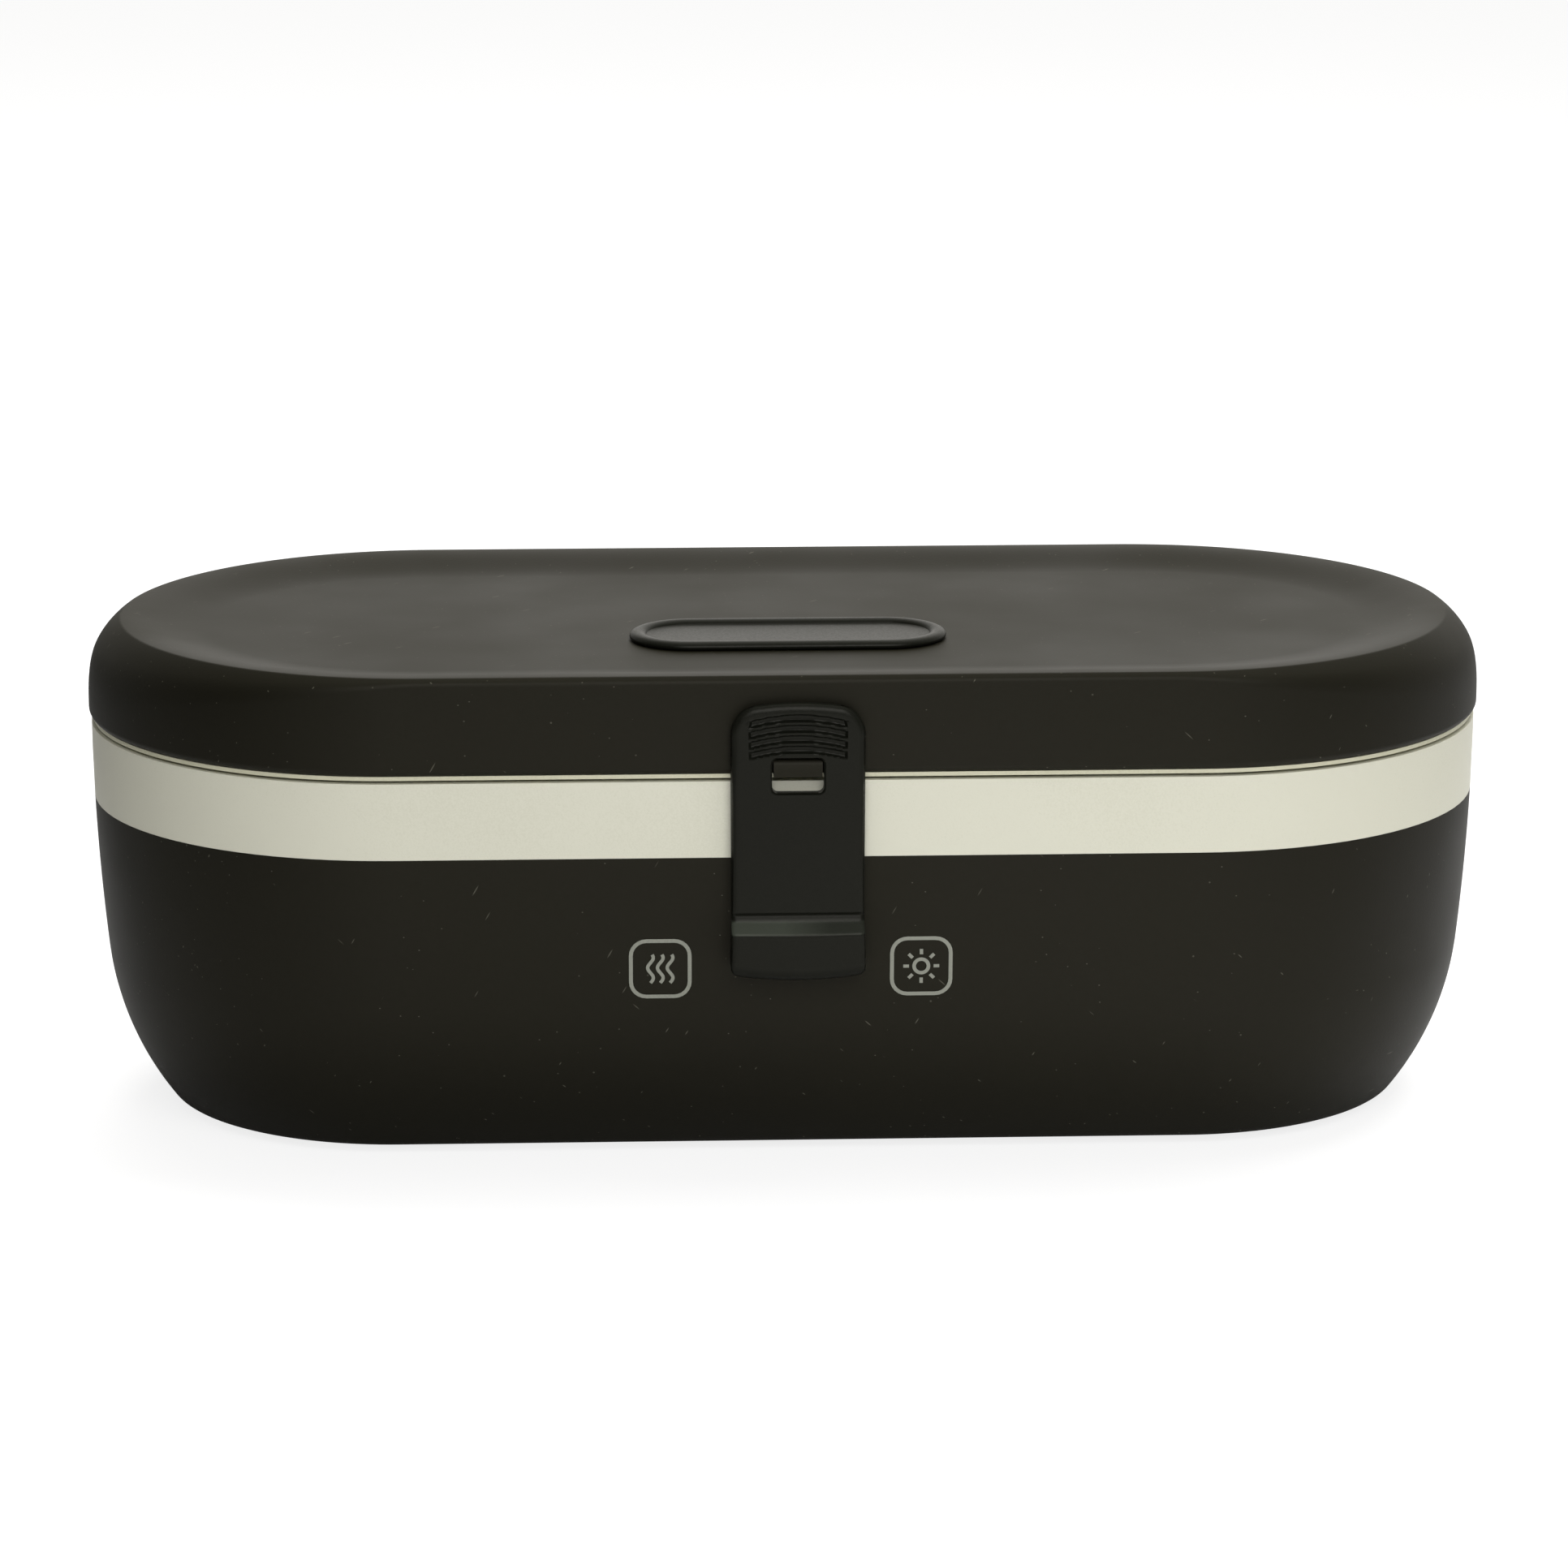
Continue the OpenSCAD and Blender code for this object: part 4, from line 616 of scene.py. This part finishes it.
# Vent cover: a thin pill with a full round bead, a plug under it and a knuckle behind
COVER_HALF, COVER_R, PANEL_Z = 19.5, 12, 97.85
BEAD_MIDDLE, BEAD_Z, BEAD_HALF, BEAD_TALL = 10.3, 97.65, 1.7, 1.05
KNUCKLE_HALF = 13.5


def build_vent_cover():
    low = Z_DISH + 0.2
    edge = [(COVER_R - 0.4, low), (COVER_R - 0.1, low + 0.12), (COVER_R, low + 0.4)]
    bead = [(BEAD_MIDDLE + BEAD_HALF * math.cos(t), BEAD_Z + BEAD_TALL * math.sin(t))
            for t in [math.pi * (0.04 + 0.87 * i / 18) for i in range(19)]]
    section = edge + bead + [(8.4, PANEL_Z + 0.02), (8.0, PANEL_Z)]
    points, faces = pill_loft(COVER_HALF, lambda angle: section, 48)
    cover = make_solid("steam_cover", ([(x, y + VENT_Y, z) for x, y, z in points], faces))
    plug = loft([ring("z", z, (0, VENT_Y), pill_outline(VENT_HALF, r))
                 for z, r in ((95.4, 4.6), (95.7, 5), (97.4, 5))])
    carve(cover, "UNION", plug)
    arm = [(VENT_PIN_Y - 2.3, 97.25), (VENT_PIN_Y, 97.25), (VENT_PIN_Y, 97.9), (VENT_PIN_Y - 2.3, 97.8)]
    carve(cover, "UNION", bar(KNUCKLE_HALF - 0.1, arm))
    carve(cover, "UNION", rod("x", VENT_PIN, (-KNUCKLE_HALF, 1), (KNUCKLE_HALF, 1), count=40))
    carve(cover, "DIFFERENCE", rod("x", VENT_PIN, (-14, 0.6), (14, 0.6), count=24))
    settle(cover, "vent", "latch_plastic", "vent_cover")


# Latch: a waisted plate with rounded rims, four arched grip grooves, a dark seam over a sloped shelf and a
# thick foot round the pivot
LATCH_FACE, LATCH_BACK, LATCH_TOP, LATCH_HALF, CORNER_R = -64.9, -62.4, 94.5, 13.1, 4.8
WAIST_Z, WAIST_REACH, WAIST_IN = 67.05, 27.45, 0.4
FOOT_FACE, FOOT_TOP, FOOT_CORNER_Z, FOOT_CORNER_R, FOOT_R = -67.1, 49.3, 41.6, 2.0, 3.2
SLOPE_TALL, SEAM_Z, SEAM_HALF, SEAM_DEEP = 2.3, 52.6, 0.65, 0.6
GRIP_Z, GRIP_PITCH, GRIP_ARCH_R, GRIP_REACH, GRIP_HALF = 91.8, 2.05, 76, 8.6, 0.75
TOP_ARCH_R, ARCH_FROM, RIM_FROM, RIM_R, FOOT_LIFT, FOOT_LIFT_TALL = 60, 82, 78, 0.8, 1.1, 9
WINDOW_Z, WINDOW_W, WINDOW_H, WINDOW_R = 80.35, 10, 6.9, 1.2


def latch_half(z):
    """Half width of the latch at one height: waisted, with rounded corners at its top and foot."""
    half = LATCH_HALF - WAIST_IN * (1 - min(1, abs(z - WAIST_Z) / WAIST_REACH) ** 2)
    if z > LATCH_TOP - CORNER_R:
        half -= CORNER_R - math.sqrt(max(0, CORNER_R ** 2 - (z - LATCH_TOP + CORNER_R) ** 2))
    if z < FOOT_CORNER_Z:
        half -= FOOT_CORNER_R - math.sqrt(max(0, FOOT_CORNER_R ** 2 - (FOOT_CORNER_Z - z) ** 2))
    return half


def rim_distance(x, z):
    """How far a point of the front lies inside the latch's outline."""
    half = latch_half(min(z, LATCH_TOP - CORNER_R))
    corner_x, corner_z = half - CORNER_R, LATCH_TOP - CORNER_R
    if abs(x) > corner_x and z > corner_z:
        return CORNER_R - math.hypot(abs(x) - corner_x, z - corner_z)
    return min(half - abs(x), LATCH_TOP - z)


def front_at(z):
    """Face of the latch at one height, before its rims are rounded."""
    slope = min(1, max(0, (z - FOOT_TOP) / SLOPE_TALL))
    depth = FOOT_FACE + (LATCH_FACE - FOOT_FACE) * slope
    away = abs(z - SEAM_Z)
    if away < SEAM_HALF:
        depth += SEAM_DEEP * (0.5 + 0.5 * math.cos(math.pi * away / SEAM_HALF))
    return depth


def grip_depth(x, z):
    """Depth of the grip grooves, which are as deep as half their width and fade out at their ends."""
    depth = 0
    for i in range(4):
        middle = GRIP_Z - GRIP_PITCH * i - (GRIP_ARCH_R - math.sqrt(GRIP_ARCH_R ** 2 - x * x))
        away = max(abs(z - middle), abs(x) - GRIP_REACH)
        if away < GRIP_HALF:
            depth = max(depth, GRIP_HALF * (1 - (away / GRIP_HALF) ** 4))
    return depth


def rim_fall(inside, radius):
    """How far a rounded rim has fallen away, at a distance inside its outline."""
    return radius - math.sqrt(max(0, radius ** 2 - max(0, radius - inside) ** 2))


def arch_drop(x):
    """How far the arch of the top edge has dropped at one side of the middle."""
    return TOP_ARCH_R - math.sqrt(TOP_ARCH_R ** 2 - x * x)


def top_bow(x, z):
    """The same drop, which fades out below the top edge."""
    return arch_drop(x) * min(1, max(0, (z - ARCH_FROM) / 8))


def foot_lift(x):
    """How far the foot's lower edge has risen towards its sides."""
    return FOOT_LIFT * (x / LATCH_HALF) ** 2


def latch_column(u, heights):
    """Side view of the latch at one share of its half width: foot, front, top, back and foot again."""
    column = []
    for y, z in arc(PIVOT, FOOT_R, -90, -180, 14):
        half = latch_half(z)
        x = u * half
        sink = rim_fall(half - abs(x), RIM_R)
        column.append((x, y + sink * (PIVOT_Y - y) / FOOT_R, z + foot_lift(x)))
    for z in heights:
        x = u * latch_half(z)
        # The mean over 0.6 mm softens the corners of the shelf, and the rims are flatter than round
        face = sum(front_at(z + d) for d in (-0.3, -0.15, 0, 0.15, 0.3)) / 5
        edge = 1 + 0.6 * min(1, max(0, (z - RIM_FROM) / 8))
        rim = 0.7 * rim_fall(rim_distance(x, z), edge)
        bow = top_bow(x, z)
        fade = foot_lift(x) * max(0, 1 - (z - PIVOT_Z) / FOOT_LIFT_TALL)
        column.append((x, face + rim + grip_depth(x, z - bow + arch_drop(x)), z - bow + fade))
    downward = [0, 0.4, 1.2, *(3 * i for i in range(1, 15))]
    for z in [*(LATCH_TOP - down for down in downward), 50.3]:
        x = u * latch_half(z)
        column.append((x, LATCH_BACK - rim_fall(rim_distance(x, z), 0.4), z - top_bow(x, z)))
    for y, z in arc(PIVOT, FOOT_R, 20, -84, 16):
        x = u * latch_half(z)
        column.append((x, y, z + foot_lift(x)))
    return column


def build_latch():
    heights = [PIVOT_Z + (LATCH_TOP - PIVOT_Z) * i / 250 for i in range(1, 246)]
    heights += [LATCH_TOP - 1.0 + 0.1 * i for i in range(10)]
    heights += [LATCH_TOP - down for down in (0.06, 0.03, 0.01, 0)]
    # Columns stand closer together towards both sides, where the rims turn
    even = [i / 24 - 1 for i in range(49)]
    shares = sorted({round(0.55 * math.sin(math.pi / 2 * t) + 0.45 * t, 6) for t in even})
    latch = make_solid("front_latch", loft([latch_column(u, heights) for u in shares]))
    window = soft_rect(WINDOW_W, WINDOW_H, WINDOW_R)
    flared = [ring("y", y, (0, WINDOW_Z), [(u * k, v * k) for u, v in window])
              for y, k in ((-66.9, 1.4), (LATCH_FACE + 0.4, 1), (-61, 1))]
    carve(latch, "DIFFERENCE", loft(flared))
    carve(latch, "DIFFERENCE", rod("x", PIVOT, (-7.3, 2.4), (7.3, 2.4)))
    room = [(-65.2, 36.4), (-57.5, 36.4), (-57.5, 44.1), (-65.2, 44.1)]
    carve(latch, "DIFFERENCE", bar(7.29, room))
    settle(latch, "latch", "latch_plastic", "latch")


# Lines of the two keys: an outline each, with heat waves in the left one and a lamp with rays in the right
# KEY_W is measured between the middles of a key's lines
KEY_Z, KEY_X, KEY_W, KEY_R = 41.0, (-26.55, 24.15), 11.4, 3.0
RIM_W, BULB_W, SIGN_W = 0.75, 0.7, 0.65
LINE_PROUD, LINE_DEEP = 0.05, 0.4
WAVE_PITCH, WAVE_SWING, WAVE_TALL = 1.9, 0.55, 5.8
BULB_R, RAY_FROM, RAY_TO = 1.4, 2.4, 3.5


def inlay(path, width, closed=False):
    """Flat line let into the front wall and standing a little proud, so that it shows."""
    rings = []
    count = len(path)
    for i, (x, z) in enumerate(path):
        before = path[i - 1 if closed or i else 0]
        after = path[(i + 1) % count if closed or i < count - 1 else i]
        du, dv = after[0] - before[0], after[1] - before[1]
        length = math.hypot(du, dv)
        nu, nv = -dv / length * width / 2, du / length * width / 2
        rings.append([(x + s * nu, -(wall_at(z + s * nv) + out), z + s * nv)
                      for s, out in ((-1, LINE_PROUD), (1, LINE_PROUD), (1, -LINE_DEEP), (-1, -LINE_DEEP))])
    points, faces = loft(rings)
    if closed:
        faces = faces[2:]
        last = len(points) - 4
        faces += [(last + i, last + (i + 1) % 4, (i + 1) % 4, i) for i in range(4)]
    return points, faces


def build_key_lines():
    outline = soft_rect(KEY_W, KEY_W, KEY_R)
    rims = [inlay([(x + u, KEY_Z + v) for u, v in outline], RIM_W, True) for x in KEY_X]
    waves = [inlay([(KEY_X[0] + s * WAVE_PITCH + WAVE_SWING * math.sin(2.8 * math.pi * t),
                     KEY_Z + WAVE_TALL * (t - 0.5))
                    for t in [i / 24 for i in range(25)]], SIGN_W) for s in (-1, 0, 1)]
    bulb = inlay([(KEY_X[1] + u, KEY_Z + v) for u, v in circle(BULB_R, 28)], BULB_W, True)
    rays = [inlay([(KEY_X[1] + r * math.cos(a), KEY_Z + r * math.sin(a)) for r in (RAY_FROM, RAY_TO)], SIGN_W)
            for a in [math.pi / 4 * i for i in range(8)]]
    settle(make_solid("heat_key_sign", rims[0], *waves), "base", "key_line", "heat_key_light")
    settle(make_solid("lamp_key_sign", rims[1], bulb, *rays), "base", "key_line", "lamp_key_light")


build_lower_shell()
build_lid()
build_vent_cover()
build_latch()
build_key_lines()

bpy.context.scene.view_settings.view_transform = "Standard"
